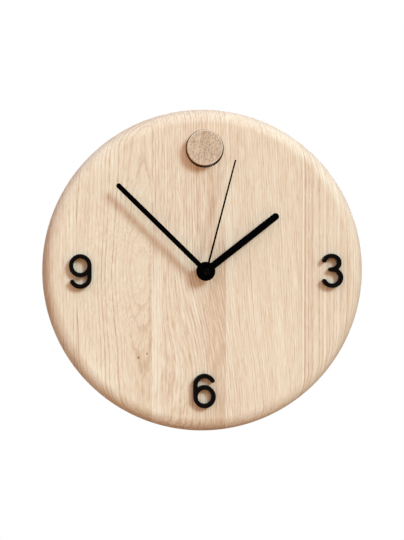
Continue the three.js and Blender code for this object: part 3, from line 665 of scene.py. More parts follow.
def rounded(centre: Point, half: Point, corner: float, steps: int = 6) -> list[Point]:
    """Gives the outline of a rectangle with round corners.

    Args:
        centre: its centre.
        half: half its width and half its height.
        corner: the radius of its corners.
        steps: how many steps go round each corner.

    Returns:
        The closed outline.
    """
    x, z = half[0] - corner, half[1] - corner
    outline: list[Point] = []
    for start, side_x, side_z in ((0, 1, 1), (90, -1, 1), (180, -1, -1), (270, 1, -1)):
        outline += arc((centre[0] + side_x * x, centre[1] + side_z * z), corner, start, start + 90, steps)
    return outline


def between(left: float, right: float, bottom: float, top: float, corner: float) -> list[Point]:
    """Gives a rectangle with round corners between four sides."""
    return rounded(((left + right) / 2, (bottom + top) / 2), ((right - left) / 2, (top - bottom) / 2), corner)


def framed(node: str, gap: float, corner: float) -> list[Point]:
    """Gives a rectangle with round corners, drawn in by a gap from the sides of a node's box."""
    low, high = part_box(node)
    return between(low.x + gap, high.x - gap, low.z + gap, high.z - gap, corner)


def middle_of(node: str) -> Point:
    """Gives x and z of the middle of a node's box."""
    low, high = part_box(node)
    return (low.x + high.x) / 2, (low.z + high.z) / 2


def skin(rings: Sequence[Sequence[Place]], ends: Ends = Ends.CAPPED) -> bmesh.types.BMesh:
    """Joins rings of points with faces, each to the next.

    Args:
        rings: the rings, all with as many points.
        ends: what becomes of the first and the last ring.

    Returns:
        The working mesh.
    """
    bm = bmesh.new()
    rows = [[bm.verts.new(point) for point in ring] for ring in rings]
    pairs = list(zip(rows, rows[1:]))
    if ends is Ends.JOINED:
        pairs.append((rows[-1], rows[0]))
    if ends is Ends.CAPPED:
        bm.faces.new(rows[0])
        bm.faces.new(rows[-1])
    for near, far in pairs:
        for i in range(len(near)):
            j = (i + 1) % len(near)
            bm.faces.new((near[i], near[j], far[j], far[i]))
    return bm


def to_object(name: str, bm: bmesh.types.BMesh, solid: bool = True) -> bpy.types.Object:
    """Turns a working mesh into an object.

    Args:
        name: the object's name.
        bm: the working mesh, freed here.
        solid: whether it closes round a solid, whose faces are then turned outward.

    Returns:
        The object.
    """
    if solid:
        bmesh.ops.remove_doubles(bm, verts=bm.verts, dist=1e-7)
        bmesh.ops.recalc_face_normals(bm, faces=bm.faces)
    mesh = bpy.data.meshes.new(name)
    bm.to_mesh(mesh)
    bm.free()
    piece = bpy.data.objects.new(name, mesh)
    bpy.context.scene.collection.objects.link(piece)
    return piece


def plate(name: str, outline: Sequence[Point], front: float, back: float) -> bpy.types.Object:
    """Makes an upright plate of a closed outline in x and z, between two depths."""
    return to_object(name, skin([[(x, y, z) for x, z in outline] for y in (front, back)]))


def rod(
    name: str, axis: Point, radius: float, front: float, back: float, segments: int = 32,
) -> bpy.types.Object:
    """Makes a round rod along Y, between two depths."""
    return plate(name, ring_of(axis, radius, segments), front, back)


def lathe(
    name: str, profile: Sequence[Point], axis: Point, segments: int, ends: Ends = Ends.CAPPED,
) -> bpy.types.Object:
    """Turns a profile about an axis along Y.

    Args:
        name: the object's name.
        profile: radius and y of each point; no radius is 0.
        axis: x and z of the axis.
        segments: faces round the axis.
        ends: what becomes of the first and the last ring.

    Returns:
        The object.
    """
    rings = [[(x, y, z) for x, z in ring_of(axis, radius, segments)] for radius, y in profile]
    return to_object(name, skin(rings, ends))


@dataclass(frozen=True)
class Thread:
    """A screw thread about an axis along Y."""

    crest: float
    depth: float
    pitch: float
    ridge: float = 0.32
    segments: int = 48

    def radius(self, angle: float, y: float) -> float:
        """Gives its radius at an angle in radians and a depth along its axis."""
        turn = (y / self.pitch - angle / (2 * math.pi)) % 1.0
        return self.crest - self.depth + self.depth * max(0.0, 1.0 - abs(turn - 0.5) / self.ridge)

    def rod(
        self, name: str, axis: Point, front: float, back: float, steps: int,
        radius_at: Callable[[float, float], float], bore: float = 0.0,
    ) -> bpy.types.Object:
        """Makes a rod along Y with the thread.

        Args:
            name: the object's name.
            axis: x and z of its axis.
            front: y of its front end.
            back: y of its back end.
            steps: faces along the rod.
            radius_at: gives the radius at an angle in radians and a depth.
            bore: the radius of a hole right through, or 0 for none.

        Returns:
            The object.
        """
        turns = [2 * math.pi * j / self.segments for j in range(self.segments)]

        def ring(y: float, radius_of: Callable[[float, float], float]) -> list[Place]:
            """Gives the points round the rod at one depth."""
            points = (polar(axis, radius_of(turn, y), turn) for turn in turns)
            return [(x, y, z) for x, z in points]

        rings = [ring(front + (back - front) * i / steps, radius_at) for i in range(steps + 1)]
        if not bore:
            return to_object(name, skin(rings))
        rings += [ring(y, lambda angle, depth: bore) for y in (back, front)]
        return to_object(name, skin(rings, Ends.JOINED))


def discard(piece: bpy.types.Object) -> None:
    """Deletes an object and its mesh."""
    mesh = piece.data
    bpy.data.objects.remove(piece)
    bpy.data.meshes.remove(mesh)


def bake(piece: bpy.types.Object) -> None:
    """Applies an object's modifiers to its mesh."""
    graph = bpy.context.evaluated_depsgraph_get()
    mesh = bpy.data.meshes.new_from_object(piece.evaluated_get(graph))
    piece.modifiers.clear()
    old = piece.data
    piece.data = mesh
    bpy.data.meshes.remove(old)


def combine(piece: bpy.types.Object, how: Boolean, *others: bpy.types.Object) -> None:
    """Joins, cuts or intersects an object with others, which are used up.

    Args:
        piece: the object that is changed.
        how: what the others do to it.
        others: the objects that change it, one after the other.
    """
    for other in others:
        modifier = piece.modifiers.new("combine", "BOOLEAN")
        modifier.operation = how.value
        modifier.solver = "EXACT"
        modifier.object = other
        bake(piece)
        discard(other)


def gathered(name: str, pieces: Iterable[bpy.types.Object]) -> bpy.types.Object:
    """Makes one object of several that don't touch each other, which are used up."""
    bm = bmesh.new()
    for piece in pieces:
        bm.from_mesh(piece.data)
        discard(piece)
    return to_object(name, bm)


def soften(piece: bpy.types.Object, width: float, steps: int = 3, angle: float = 60.0) -> None:
    """Rounds an object's sharp edges.

    Args:
        piece: the object.
        width: the width of the rounding in metres.
        steps: faces across it.
        angle: edges sharper than this many degrees are rounded.
    """
    modifier = piece.modifiers.new("soften", "BEVEL")
    modifier.width = width
    modifier.segments = steps
    modifier.limit_method = "ANGLE"
    modifier.angle_limit = math.radians(angle)
    modifier.use_clamp_overlap = True
    bake(piece)


def dress(piece: bpy.types.Object, finish: Finish, body: str, *nodes: str, crease: float = 35.0) -> None:
    """Shades a piece smoothly, gives it its finish and puts it on its body.

    Args:
        piece: the object.
        finish: its finish.
        body: the body that it moves with.
        nodes: the nodes that it stands for.
        crease: edges over this many degrees stay sharp.
    """
    mesh = piece.data
    mesh.shade_smooth()
    mesh.set_sharp_from_angle(angle=math.radians(crease))
    piece.modifiers.new("even_flats", "WEIGHTED_NORMAL").keep_sharp = True
    mesh.materials.clear()
    mesh.materials.append(finish.material())
    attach(piece, body)
    if nodes:
        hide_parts(*nodes)
    log.info("%s rides on %s, finish %s", piece.name, body, finish.name)


# Finishes


HAND_PAINT = Moulded("hand_paint", "hand_black", srgb(1, 1, 1), srgb(4, 4, 4), 0.5, 0.3, 0.012, 0.008)
CAP_PAINT = Moulded("cap_paint", "hand_black", srgb(1, 1, 1), srgb(3, 3, 3), 0.16, 0.3, 0.006, 0.025)
FIGURE_PAINT = Moulded("figure_paint", "numeral_black", srgb(7, 5, 4), srgb(14, 11, 9), 0.4, 0.35, 0.02, 0.03)
CASE_PLASTIC = Moulded(
    "case_texture", "case_plastic", srgb(24, 25, 27), srgb(38, 39, 41), 0.6, 0.3, 0.03, 0.4,
)
COVER_PLASTIC = Moulded(
    "cover_texture", "cover_plastic", srgb(30, 31, 33), srgb(44, 45, 47), 0.55, 0.3, 0.03, 0.4,
)
KNOB_PLASTIC = Moulded(
    "knob_texture", "knob_plastic", srgb(34, 35, 37), srgb(50, 51, 53), 0.45, 0.3, 0.015, 0.45,
)
RUBBER = Moulded("washer_rubber", "rubber", srgb(22, 22, 22), srgb(38, 38, 37), 0.85, 0.4, 0.04, 0.2)
WHEEL_PLASTIC = Moulded(
    "wheel_nylon", "wheel_plastic", srgb(232, 229, 220), srgb(214, 209, 196), 0.4, 0.5, 0.01, 0.5,
)
BOARD = Moulded("board_lacquer", "board_green", srgb(36, 92, 52), srgb(52, 116, 68), 0.4, 0.4, 0.01, 0.5)
CHIP = Moulded("chip_epoxy", "chip_black", srgb(22, 22, 24), srgb(34, 34, 36), 0.6, 0.2, 0.02, 0.4)
BRASS = Turned("turned_brass", "brass", srgb(206, 172, 106), srgb(160, 124, 70), 0.28, DIAL_AXIS)
COPPER = Turned("wound_copper", "copper", srgb(196, 118, 74), srgb(150, 82, 48), 0.35, DIAL_AXIS)
BOLT_STEEL = Turned("bolt_zinc", "steel", srgb(186, 188, 190), srgb(140, 143, 146), 0.34)
SPRING_STEEL = Sheet("spring_nickel", "steel", srgb(172, 172, 170), srgb(128, 128, 126), 0.32)
STATOR_IRON = Sheet("stator_sheet", "stator_iron", srgb(150, 152, 154), srgb(104, 106, 108), 0.4)
ROTOR_IRON = Sheet("rotor_magnet", "rotor_iron", srgb(110, 112, 116), srgb(76, 78, 82), 0.5)
CELL_SLEEVE = Sleeve("cell_sleeve_film", "cell_jacket")
PEG_OAK = OakDowel("peg_oak", "oak_end_grain")

BOARDS = (
    OakBoard(
        "oak_board_1", "oak", seed=3.1, pith_aside=-150.0, pith_depth=24.0, ring_width=2.1, slant=-0.5,
        ring_contrast=0.6, fibre_contrast=0.9, tone=srgb(252, 252, 249),
        # Paler towards the lower left, near the edge: painted light.
        shades=(Shade(-0.45, -86.0, -95.0, -25.0, -60.0),), streaks=(Streak(0.45, -110.0, 4.0, 45.0, -75.0),),
    ),
    OakBoard(
        "oak_board_2", "oak", seed=11.7, pith_aside=-42.5, pith_depth=5.0, ring_width=2.4, ring_start=2.36,
        swell=11.0, swell_height=1.5, swell_length=34.0, waver=0.8, ring_contrast=0.9, fibre_contrast=0.95,
        tone=srgb(252, 251, 247), knots=(Knot(-45.1, -58.7, 0.7), Knot(-39.3, -56.0, 0.5)),
        shades=(
            # The first shade is the board's own tone; the paler ones at its lower left and upper left, near
            # the edge, are painted light.
            Shade(0.22, -56.0, -38.0, -5.0, -45.0), Shade(-0.45, -50.0, -80.0, -50.0, -75.0),
            Shade(-0.25, -50.0, -75.0, 50.0, 80.0),
        ),
        streaks=(Streak(0.35, -37.4, 0.6, 30.0, -60.0),),
    ),
    OakBoard(
        "oak_board_3", "oak", seed=23.4, pith_aside=-84.0, pith_depth=20.0, ring_width=1.8,
        lean=Lean(20.0, -75.0, 15.0, -36.0, -2.0), ring_contrast=0.7, pore_contrast=0.55, fibre_contrast=1.25,
        tone=srgb(250, 247, 243),
        shades=(
            Shade(-0.4, -26.0, -36.0, 15.0, -30.0), Shade(0.45, -6.0, 10.0, 40.0, -5.0),
            # Darker along the bottom of the turned edge: painted shade.
            Shade(0.22, -40.0, -39.0, -97.0, -106.0),
        ),
        streaks=(Streak(0.3, 5.0, 2.2, 82.0, 0.0), Streak(0.3, -4.5, 1.2, 90.0, 20.0)),
    ),
    OakBoard(
        "oak_board_4", "oak", seed=37.9, pith_aside=-60.0, pith_depth=40.0, ring_width=1.6,
        lean=Lean(10.0, -95.0, 5.0, 66.0, 40.0), tilt=0.045, ring_contrast=0.55, tone=srgb(251, 249, 245),
        # The first shade is the board's own tone; the second, darker along the bottom of the turned edge, is
        # painted shade.
        shades=(Shade(-0.15, 24.0, 15.0), Shade(0.22, 10.0, 11.0, -97.0, -106.0)),
    ),
    OakBoard(
        "oak_board_5", "oak", seed=51.2, pith_aside=-190.0, pith_depth=90.0, ring_width=2.3, slant=0.7,
        waver=0.1, ring_contrast=0.9, fibre_contrast=0.8, tone=srgb(249, 247, 243),
        # Darker along the right of the turned edge: painted shade.
        shades=(Shade(0.12, 98.0, 106.0),),
        streaks=(
            Streak(-0.9, 67.6, 0.4), Streak(0.5, 68.9, 0.5), Streak(0.25, 73.6, 1.0), Streak(-0.5, 76.2, 0.5),
            Streak(-0.4, 82.5, 0.5), Streak(0.3, 84.5, 0.6), Streak(-0.3, 91.5, 0.9), Streak(0.3, 94.0, 0.5),
            Streak(0.3, 99.0, 1.2),
        ),
    ),
)


# Oak body and peg


@dataclass
class OakBody:
    """The round body, edge-glued from five upright staves, with its holes and the pocket behind."""

    radius: float = 110 * MM
    front_round: float = 10 * MM
    back_round: float = 8 * MM
    joints: tuple[float, ...] = (-86.75 * MM, -36.25 * MM, 14.25 * MM, 64.75 * MM)
    joint_gap: float = 0.05 * MM
    peg_hole: Point = (DIAL.x, DIAL.z + 83 * MM)
    peg_hole_radius: float = 12.9 * MM
    bush_hole_radius: float = 4.3 * MM
    pocket_half: float = 30.5 * MM
    pocket_corner: float = 8 * MM
    web: float = 6 * MM
    hole_edge: float = 0.25 * MM
    segments: int = 288
    round_steps: int = 14
    beyond: float = 2 * MM

    def blank(self) -> bpy.types.Object:
        """Makes the round blank with its holes, in one piece."""
        front, back = self.front_round, self.back_round
        profile = arc((self.radius - front, FACE_Y + front), front, -90, 0, self.round_steps)
        profile += arc((self.radius - back, -back), back, 0, 90, self.round_steps)
        body = lathe("oak_blank", profile, DIAL_AXIS, self.segments)
        pocket = rounded(DIAL_AXIS, (self.pocket_half, self.pocket_half), self.pocket_corner, 10)
        near, far = FACE_Y - self.beyond, self.beyond
        combine(
            body, Boolean.CUT,
            plate("pocket_cutter", pocket, FACE_Y + self.web, far),
            rod("bush_cutter", DIAL_AXIS, self.bush_hole_radius, near, far, 64),
            rod("peg_cutter", self.peg_hole, self.peg_hole_radius, near, far, 128),
        )
        soften(body, self.hole_edge, 2)
        return body

    def stave(self, blank: bpy.types.Object, index: int) -> bpy.types.Object:
        """Saws one stave out of the blank.

        Args:
            blank: the whole body.
            index: 0 for the stave on the left.

        Returns:
            The stave.
        """
        bm = bmesh.new()
        bm.from_mesh(blank.data)
        cuts = []
        if index > 0:
            cuts.append((DIAL.x + self.joints[index - 1] + self.joint_gap / 2, -1))
        if index < len(self.joints):
            cuts.append((DIAL.x + self.joints[index] - self.joint_gap / 2, 1))
        for x, side in cuts:
            everything = [*bm.verts, *bm.edges, *bm.faces]
            made = bmesh.ops.bisect_plane(
                bm, geom=everything, dist=1e-7, plane_co=(x, 0, 0), plane_no=(side, 0, 0), clear_outer=True,
            )
            rim = [e for e in made["geom_cut"] if isinstance(e, bmesh.types.BMEdge)]
            bmesh.ops.edgeloop_fill(bm, edges=rim)
        return to_object(f"stave_{index + 1}", bm)

    def build(self) -> None:
        """Makes all five staves, each of its own board."""
        blank = self.blank()
        for index, board in enumerate(BOARDS):
            dress(self.stave(blank, index), board, "clock", f"oak_stave_{index + 1}", crease=30.0)
        discard(blank)


@dataclass
class WallPeg:
    """The turned oak peg and the hanger bolt that holds it to the wall."""

    radius: float = 12 * MM
    proud: float = 7 * MM
    chamfer: float = 0.55 * MM
    face_inset: float = 1 * MM
    bore_edge: float = 0.2 * MM
    clearance: float = 0.3 * MM
    bolt_in_peg: float = 20 * MM
    bolt_in_wall: float = 28 * MM
    thread: Thread = Thread(crest=3 * MM, depth=0.75 * MM, pitch=2.6 * MM)
    point_length: float = 6 * MM
    point_radius: float = 0.15 * MM
    collar: float = 1.5 * MM

    def peg(self) -> None:
        """Turns the dowel, with a chamfer in front and the bolt's hole behind."""
        tip = FACE_Y - self.proud
        bore = self.thread.crest + self.clearance
        rim = self.radius - self.chamfer
        profile = [(rim - self.face_inset, tip)]
        profile += arc((rim, tip + self.chamfer), self.chamfer, -90, 0, 5)
        profile += arc((rim, -self.chamfer), self.chamfer, 0, 90, 4)
        profile += [(bore + self.bore_edge, 0.0), (bore, -self.bore_edge)]
        profile += [(bore, -self.bolt_in_peg - self.clearance)]
        dress(lathe("peg", profile, PEG_AXIS, 128), PEG_OAK, "peg", "wall_peg")

    def bolt_radius(self, angle: float, y: float) -> float:
        """Gives the bolt's radius at an angle and a depth: a thread with a plain collar and a point."""
        if abs(y) < self.collar:
            return self.thread.crest
        threaded = self.thread.radius(angle, y)
        left = self.bolt_in_wall - y
        if left < self.point_length:
            return max(self.point_radius, threaded * left / self.point_length)
        return threaded

    def build(self) -> None:
        """Makes the peg and its bolt."""
        self.peg()
        bolt = self.thread.rod(
            "hanger_bolt", PEG_AXIS, -self.bolt_in_peg, self.bolt_in_wall, 200, self.bolt_radius,
        )
        dress(bolt, BOLT_STEEL, "peg", "peg_hanger_bolt", crease=50.0)


# Numerals


class Figure(Enum):
    """The raised figures, with the node that each stands for."""

    THREE = "numeral_three"
    SIX = "numeral_six"
    NINE = "numeral_nine"


@dataclass
class Numerals:
    """Raised figures with round-ended strokes of even width and softly rounded edges."""

    width: float = 15.2 * MM
    height: float = 23.3 * MM
    stroke: float = 2.9 * MM
    proud: float = 4 * MM
    edge: float = 0.45 * MM
    line_steps: int = 56
    cap_steps: int = 16
    three_lower: float = 0.97
    three_upper: float = 0.86

    @property
    def reach(self) -> Point:
        """Gives how far the middle of a stroke lies from a figure's middle, aside and up."""
        return (self.width - self.stroke) / 2, (self.height - self.stroke) / 2

    def pen_stroke(self, line: Sequence[Point]) -> list[Point]:
        """Gives the outline of a stroke along a centre line, with round ends.

        Args:
            line: the points of the centre line.

        Returns:
            The closed outline.
        """
        radius = self.stroke / 2
        last = len(line) - 1

        def around(i: int, angle: float) -> Point:
            """Gives the pen's edge at a point of the line, at an angle from its heading."""
            start, end = line[max(i - 1, 0)], line[min(i + 1, last)]
            return polar(line[i], radius, math.atan2(end[1] - start[1], end[0] - start[0]) + angle)

        left = [around(i, math.pi / 2) for i in range(last + 1)]
        right = [around(i, -math.pi / 2) for i in range(last, -1, -1)]
        turns = [math.pi * k / self.cap_steps for k in range(1, self.cap_steps)]
        end_cap = [around(last, math.pi / 2 - turn) for turn in turns]
        start_cap = [around(0, -math.pi / 2 - turn) for turn in turns]
        return left + end_cap + right + start_cap

    def nine_outlines(self) -> tuple[list[Point], list[Point], list[Point]]:
        """Gives the outer edge of the bowl, its hole and the tail of a nine."""
        wide, top = self.reach
        bowl = wide * 1.03
        middle = (0.0, top - bowl)
        pen = self.stroke / 2
        outer = arc(middle, (wide + pen, bowl + pen), 0, 360, 2 * self.line_steps)[:-1]
        hole = arc(middle, (wide - pen, bowl - pen), 0, 360, 2 * self.line_steps)[:-1]
        hook = wide * 0.96
        tail = [(wide, middle[1]), *arc((0.0, hook - top), (wide, hook), 0, -152, self.line_steps)]
        return outer, hole, self.pen_stroke(tail)

    def three_outlines(self) -> tuple[list[Point], list[Point]]:
        """Gives the strokes of the upper and the lower bowl of a three."""
        wide, top = self.reach
        waist = top * 0.08
        upper_x, upper_z = wide * self.three_upper, (top - waist) / 2
        lower_x, lower_z = wide * self.three_lower, (top + waist) / 2
        start = (-upper_x * 0.2, waist)
        upper = arc((-0.1 * upper_x, waist + upper_z), (upper_x, upper_z), 160, -90, self.line_steps)
        lower = arc((0.0, waist - lower_z), (lower_x, lower_z), 90, -155, self.line_steps)
        return self.pen_stroke([*upper, start]), self.pen_stroke([start, *lower])

    def slab(self, outline: Sequence[Point], place: Point, sign: int, reach: float = 0.0) -> bpy.types.Object:
        """Makes an upright slab of an outline on the dial.

        Args:
            outline: the outline about the figure's middle.
            place: x and z of the figure's middle.
            sign: -1 for a figure that is upside down, otherwise 1.
            reach: how far a cutting slab runs past both sides.

        Returns:
            The slab.
        """
        moved = [(place[0] + sign * x, place[1] + sign * z) for x, z in outline]
        return plate("slab", moved, FACE_Y - self.proud - reach, FACE_Y + reach)

    def build(self) -> None:
        """Makes each figure where its node lies."""
        for figure in Figure:
            place = middle_of(figure.value)
            if figure is Figure.THREE:
                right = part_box(figure.value)[1].x
                place = (right - self.stroke / 2 - self.reach[0] * self.three_lower, place[1])
                upper, lower = self.three_outlines()
                piece = self.slab(upper, place, 1)
                combine(piece, Boolean.ADD, self.slab(lower, place, 1))
            else:
                sign = -1 if figure is Figure.SIX else 1
                outer, hole, tail = self.nine_outlines()
                piece = self.slab(outer, place, sign)
                combine(piece, Boolean.CUT, self.slab(hole, place, sign, 1 * MM))
                combine(piece, Boolean.ADD, self.slab(tail, place, sign))
            piece.name = figure.name.lower()
            soften(piece, self.edge, 4, 50.0)
            dress(piece, FIGURE_PAINT, "clock", figure.value, crease=60.0)


# Hands


@dataclass(frozen=True)
class Blade:
    """Measures of a hand: its turn clockwise from 12 in degrees, its outline and its height off the dial."""

    turn: float
    length: float
    root: float
    tip: float
    boss: float
    height: float
    bore: float


class Hand(Enum):
    """The pressed hands: the node, the body, the height of what lies under it and the measures of each."""

    HOUR = ("hour_hand", "hour", 3.9 * MM, Blade(
        turn=52.1, length=62.5 * MM, root=4.8 * MM, tip=4.8 * MM, boss=6.5 * MM,
        height=7.2 * MM, bore=2.65 * MM,
    ))
    MINUTE = ("minute_hand", "minute", 7.8 * MM, Blade(
        turn=314.4, length=83.8 * MM, root=3.4 * MM, tip=3.4 * MM, boss=5.5 * MM,
        height=9.2 * MM, bore=1.85 * MM,
    ))


@dataclass
class HandSet:
    """Pressed hands with round bosses, one above the other on the dial's axis."""

    thickness: float = 0.6 * MM
    edge: float = 0.12 * MM
    collet_wall: float = 1.1 * MM
    seat: float = 0.3 * MM
    needle: Blade = Blade(
        turn=14.7, length=77.5 * MM, root=1.3 * MM, tip=1 * MM, boss=1.98 * MM,
        height=11.6 * MM, bore=0.75 * MM,
    )
    needle_edge: float = 0.06 * MM
    cap_radius: float = 2.2 * MM
    cap_top: float = 13.6 * MM
    cap_collar: float = 0.9 * MM
    cap_round: float = 0.6 * MM
    cap_dish: float = 0.35 * MM

    def outline(self, blade: Blade) -> list[Point]:
        """Gives a hand's outline on the dial, with a round boss and a round tip.

        Args:
            blade: the hand's measures.

        Returns:
            The outline.
        """
        meet = math.degrees(math.asin(blade.root / 2 / blade.boss))
        upright = arc((0.0, 0.0), blade.boss, 90 + meet, 450 - meet, 64)
        upright += arc((0.0, blade.length - blade.tip / 2), blade.tip / 2, 0, 180, 20)
        turn = math.radians(blade.turn)
        cos, sin = math.cos(turn), math.sin(turn)
        return [(DIAL.x + x * cos + z * sin, DIAL.z - x * sin + z * cos) for x, z in upright]

    def drill(self, piece: bpy.types.Object, bore: float, front: float, back: float) -> None:
        """Drills a hand for its shaft, between two depths."""
        combine(piece, Boolean.CUT, rod("drill", DIAL_AXIS, bore, front, back, 48))

    def pressed(self, hand: Hand) -> None:
        """Makes the hour or the minute hand, with the collet that grips its shaft.

        Args:
            hand: which hand.
        """
        node, body, below, blade = hand.value
        rear = FACE_Y - blade.height
        front = rear - self.thickness
        back = FACE_Y - below - self.seat
        piece = plate(f"{body}_blade", self.outline(blade), front, rear)
        wall = blade.bore + self.collet_wall
        combine(piece, Boolean.ADD, rod("collet", DIAL_AXIS, wall, front + self.thickness / 2, back, 64))
        self.drill(piece, blade.bore, front - 1 * MM, back + 1 * MM)
        soften(piece, self.edge, 2, 50.0)
        dress(piece, HAND_PAINT, body, node, crease=50.0)

    def second(self) -> None:
        """Makes the needle and its cap, whose front is domed and dished."""
        rear = FACE_Y - self.needle.height
        front = rear - self.thickness
        top = FACE_Y - self.cap_top
        needle = plate("second_needle", self.outline(self.needle), front, rear)
        radius, dish, round_off = self.cap_radius, self.cap_dish, self.cap_round
        profile = [(0.25 * radius, top + dish), (0.36 * radius, top + dish * 0.8), (0.5 * radius, top)]
        profile += arc((radius - round_off, top + round_off), round_off, -90, 0, 6)
        profile += [(radius, rear + self.cap_collar)]
        cap = lathe("second_cap", profile, DIAL_AXIS, 64)
        for piece in (needle, cap):
            self.drill(piece, self.needle.bore, front - 0.7 * MM, rear + 2 * MM)
            soften(piece, self.needle_edge, 2, 50.0)
        dress(needle, HAND_PAINT, "second", "second_hand", crease=50.0)
        dress(cap, CAP_PAINT, "second", crease=50.0)

    def build(self) -> None:
        """Makes the three hands."""
        for hand in Hand:
            self.pressed(hand)
        self.second()


# Movement


@dataclass
class MovementCase:
    """The movement's front shell with its threaded bush, and the battery bay below."""

    node: str = "movement_case_front"
    front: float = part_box("rubber_washer")[1].y
    corner: float = 3 * MM
    wall: float = 1.5 * MM
    plate: float = 1.2 * MM
    edge: float = 0.45 * MM
    inner_corner: float = 1.2 * MM
    bay_height: float = 15.4 * MM
    divider: float = 1.2 * MM
    thread: Thread = Thread(crest=3.9 * MM, depth=0.3 * MM, pitch=0.75 * MM)
    bush_bore: float = 2.8 * MM
    pivot_radius: float = 0.65 * MM
    pivot_depth: float = 0.8 * MM
    post_radius: float = 1.2 * MM
    post_gap: float = 0.05 * MM
    bridge_inset: float = 1.8 * MM
    board_inset: float = 2 * MM
    rib_width: float = 1.2 * MM
    rib_gap: float = 0.35 * MM
    rib_root: float = 0.3 * MM
    rib_hold: float = 0.35
    rib_places: tuple[float, ...] = (-17 * MM, -2 * MM, 13 * MM)
    sign_inset: float = 4.5 * MM
    sign_long: float = 2.2 * MM
    sign_short: float = 0.45 * MM
    sign_corner: float = 0.2 * MM
    sign_proud: float = 0.18 * MM
    beyond: float = 1 * MM

    def shell(self) -> bpy.types.Object:
        """Moulds the tray with its two rooms and the seat of the cover."""
        low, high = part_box(self.node)
        rear, floor = high.y, self.front + self.plate
        piece = plate("movement_case", framed(self.node, 0.0, self.corner), self.front, rear)
        soften(piece, self.edge)
        left, right, top = low.x + self.wall, high.x - self.wall, high.z - self.wall
        bay_bottom = low.z + self.wall
        bay_top = bay_bottom + self.bay_height
        room_bottom = bay_top + self.divider
        seat = between(
            low.x - self.beyond, high.x + self.beyond, room_bottom - self.divider / 2, high.z + self.beyond,
            self.edge,
        )
        for outline, depth in (
            (between(left, right, room_bottom, top, self.inner_corner), floor),
            (between(left, right, bay_bottom, bay_top, self.inner_corner), floor),
            (seat, rear - self.plate),
        ):
            combine(piece, Boolean.CUT, plate("case_cutter", outline, depth, rear + self.beyond))
        drills = gathered("pivot_drill", [
            rod("pivot", middle_of(node), self.pivot_radius, floor - self.pivot_depth, floor + self.beyond)
            for node in ("motion_wheel", "setting_knob", "third_wheel")
        ])
        bore = rod("bore", DIAL_AXIS, self.bush_bore, self.front - self.beyond, floor + self.beyond)
        combine(piece, Boolean.CUT, drills, bore)
        return piece

    def bush_radius(self, angle: float, y: float) -> float:
        """Gives the bush's radius, threaded where the nut goes."""
        return self.thread.crest if y > FACE_Y + self.wall else self.thread.radius(angle, y)

    def bush(self) -> bpy.types.Object:
        """Cuts the thread of the bush that comes through the dial."""
        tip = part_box(self.node)[0].y
        back = self.front + self.plate / 2
        return self.thread.rod("case_bush", DIAL_AXIS, tip, back, 120, self.bush_radius, self.bush_bore)

    def posts(self, name: str, places: Iterable[Point], carried: float) -> bpy.types.Object:
        """Makes posts that end just under what they carry."""
        foot, top = self.front + self.plate / 2, carried - self.post_gap
        return gathered(name, [rod("post", place, self.post_radius, foot, top) for place in places])

    def bridge_posts(self) -> bpy.types.Object:
        """Makes the posts that carry the bridge plate."""
        low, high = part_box("bridge_plate")
        inset = self.bridge_inset
        middle = ((low.x + high.x) / 2, high.z - self.post_radius)
        places = [(low.x + inset, low.z + inset), (high.x - inset, low.z + inset), middle]
        return self.posts("bridge_posts", places, low.y)

    def board_posts(self) -> bpy.types.Object:
        """Makes the posts that carry the circuit board."""
        low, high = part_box("circuit_board")
        x = (low.x + high.x) / 2
        places = [(x, low.z + self.board_inset), (x, high.z - self.board_inset)]
        return self.posts("board_posts", places, low.y)

    def ribs(self) -> list[bpy.types.Object]:
        """Makes the ribs that the cell lies in."""
        low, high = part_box("battery_cell")
        foot = self.front + self.plate / 2
        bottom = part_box(self.node)[0].z + self.wall - self.rib_root
        top = bottom + self.bay_height + 2 * self.rib_root
        radius = (high.z - low.z) / 2 + self.rib_gap
        middle = ((low.z + high.z) / 2, (low.y + high.y) / 2)
        rib_top = middle[1] - radius * self.rib_hold
        reach = math.degrees(math.acos(self.rib_hold))
        outline = [(bottom, foot), (bottom, rib_top), *arc(middle, radius, 270 - reach, 270 + reach, 24)]
        outline += [(top, rib_top), (top, foot)]
        half = self.rib_width / 2
        made = []
        for place in self.rib_places:
            sides = (DIAL.x + place - half, DIAL.x + place + half)
            made.append(to_object("cell_rib", skin([[(x, y, z) for z, y in outline] for x in sides])))
        return made

    def pole_signs(self) -> list[bpy.types.Object]:
        """Makes the raised minus and plus on the bay's floor, under the ends of the cell."""
        low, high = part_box("battery_cell")
        height = (low.z + high.z) / 2
        floor = self.front + self.plate
        flat, upright = (self.sign_long, self.sign_short), (self.sign_short, self.sign_long)
        minus, plus = low.x + self.sign_inset, high.x - self.sign_inset
        return [
            plate("pole_sign", rounded((x, height), half, self.sign_corner), floor - self.sign_proud,
                  floor + self.sign_proud)
            for x, half in ((minus, flat), (plus, flat), (plus, upright))
        ]

    def build(self) -> None:
        """Moulds the case in one piece with its bush, posts, ribs and signs."""
        case = self.shell()
        parts = [self.bush(), self.bridge_posts(), self.board_posts(), *self.ribs(), *self.pole_signs()]
        combine(case, Boolean.ADD, *parts)
        dress(case, CASE_PLASTIC, "clock", self.node, crease=40.0)


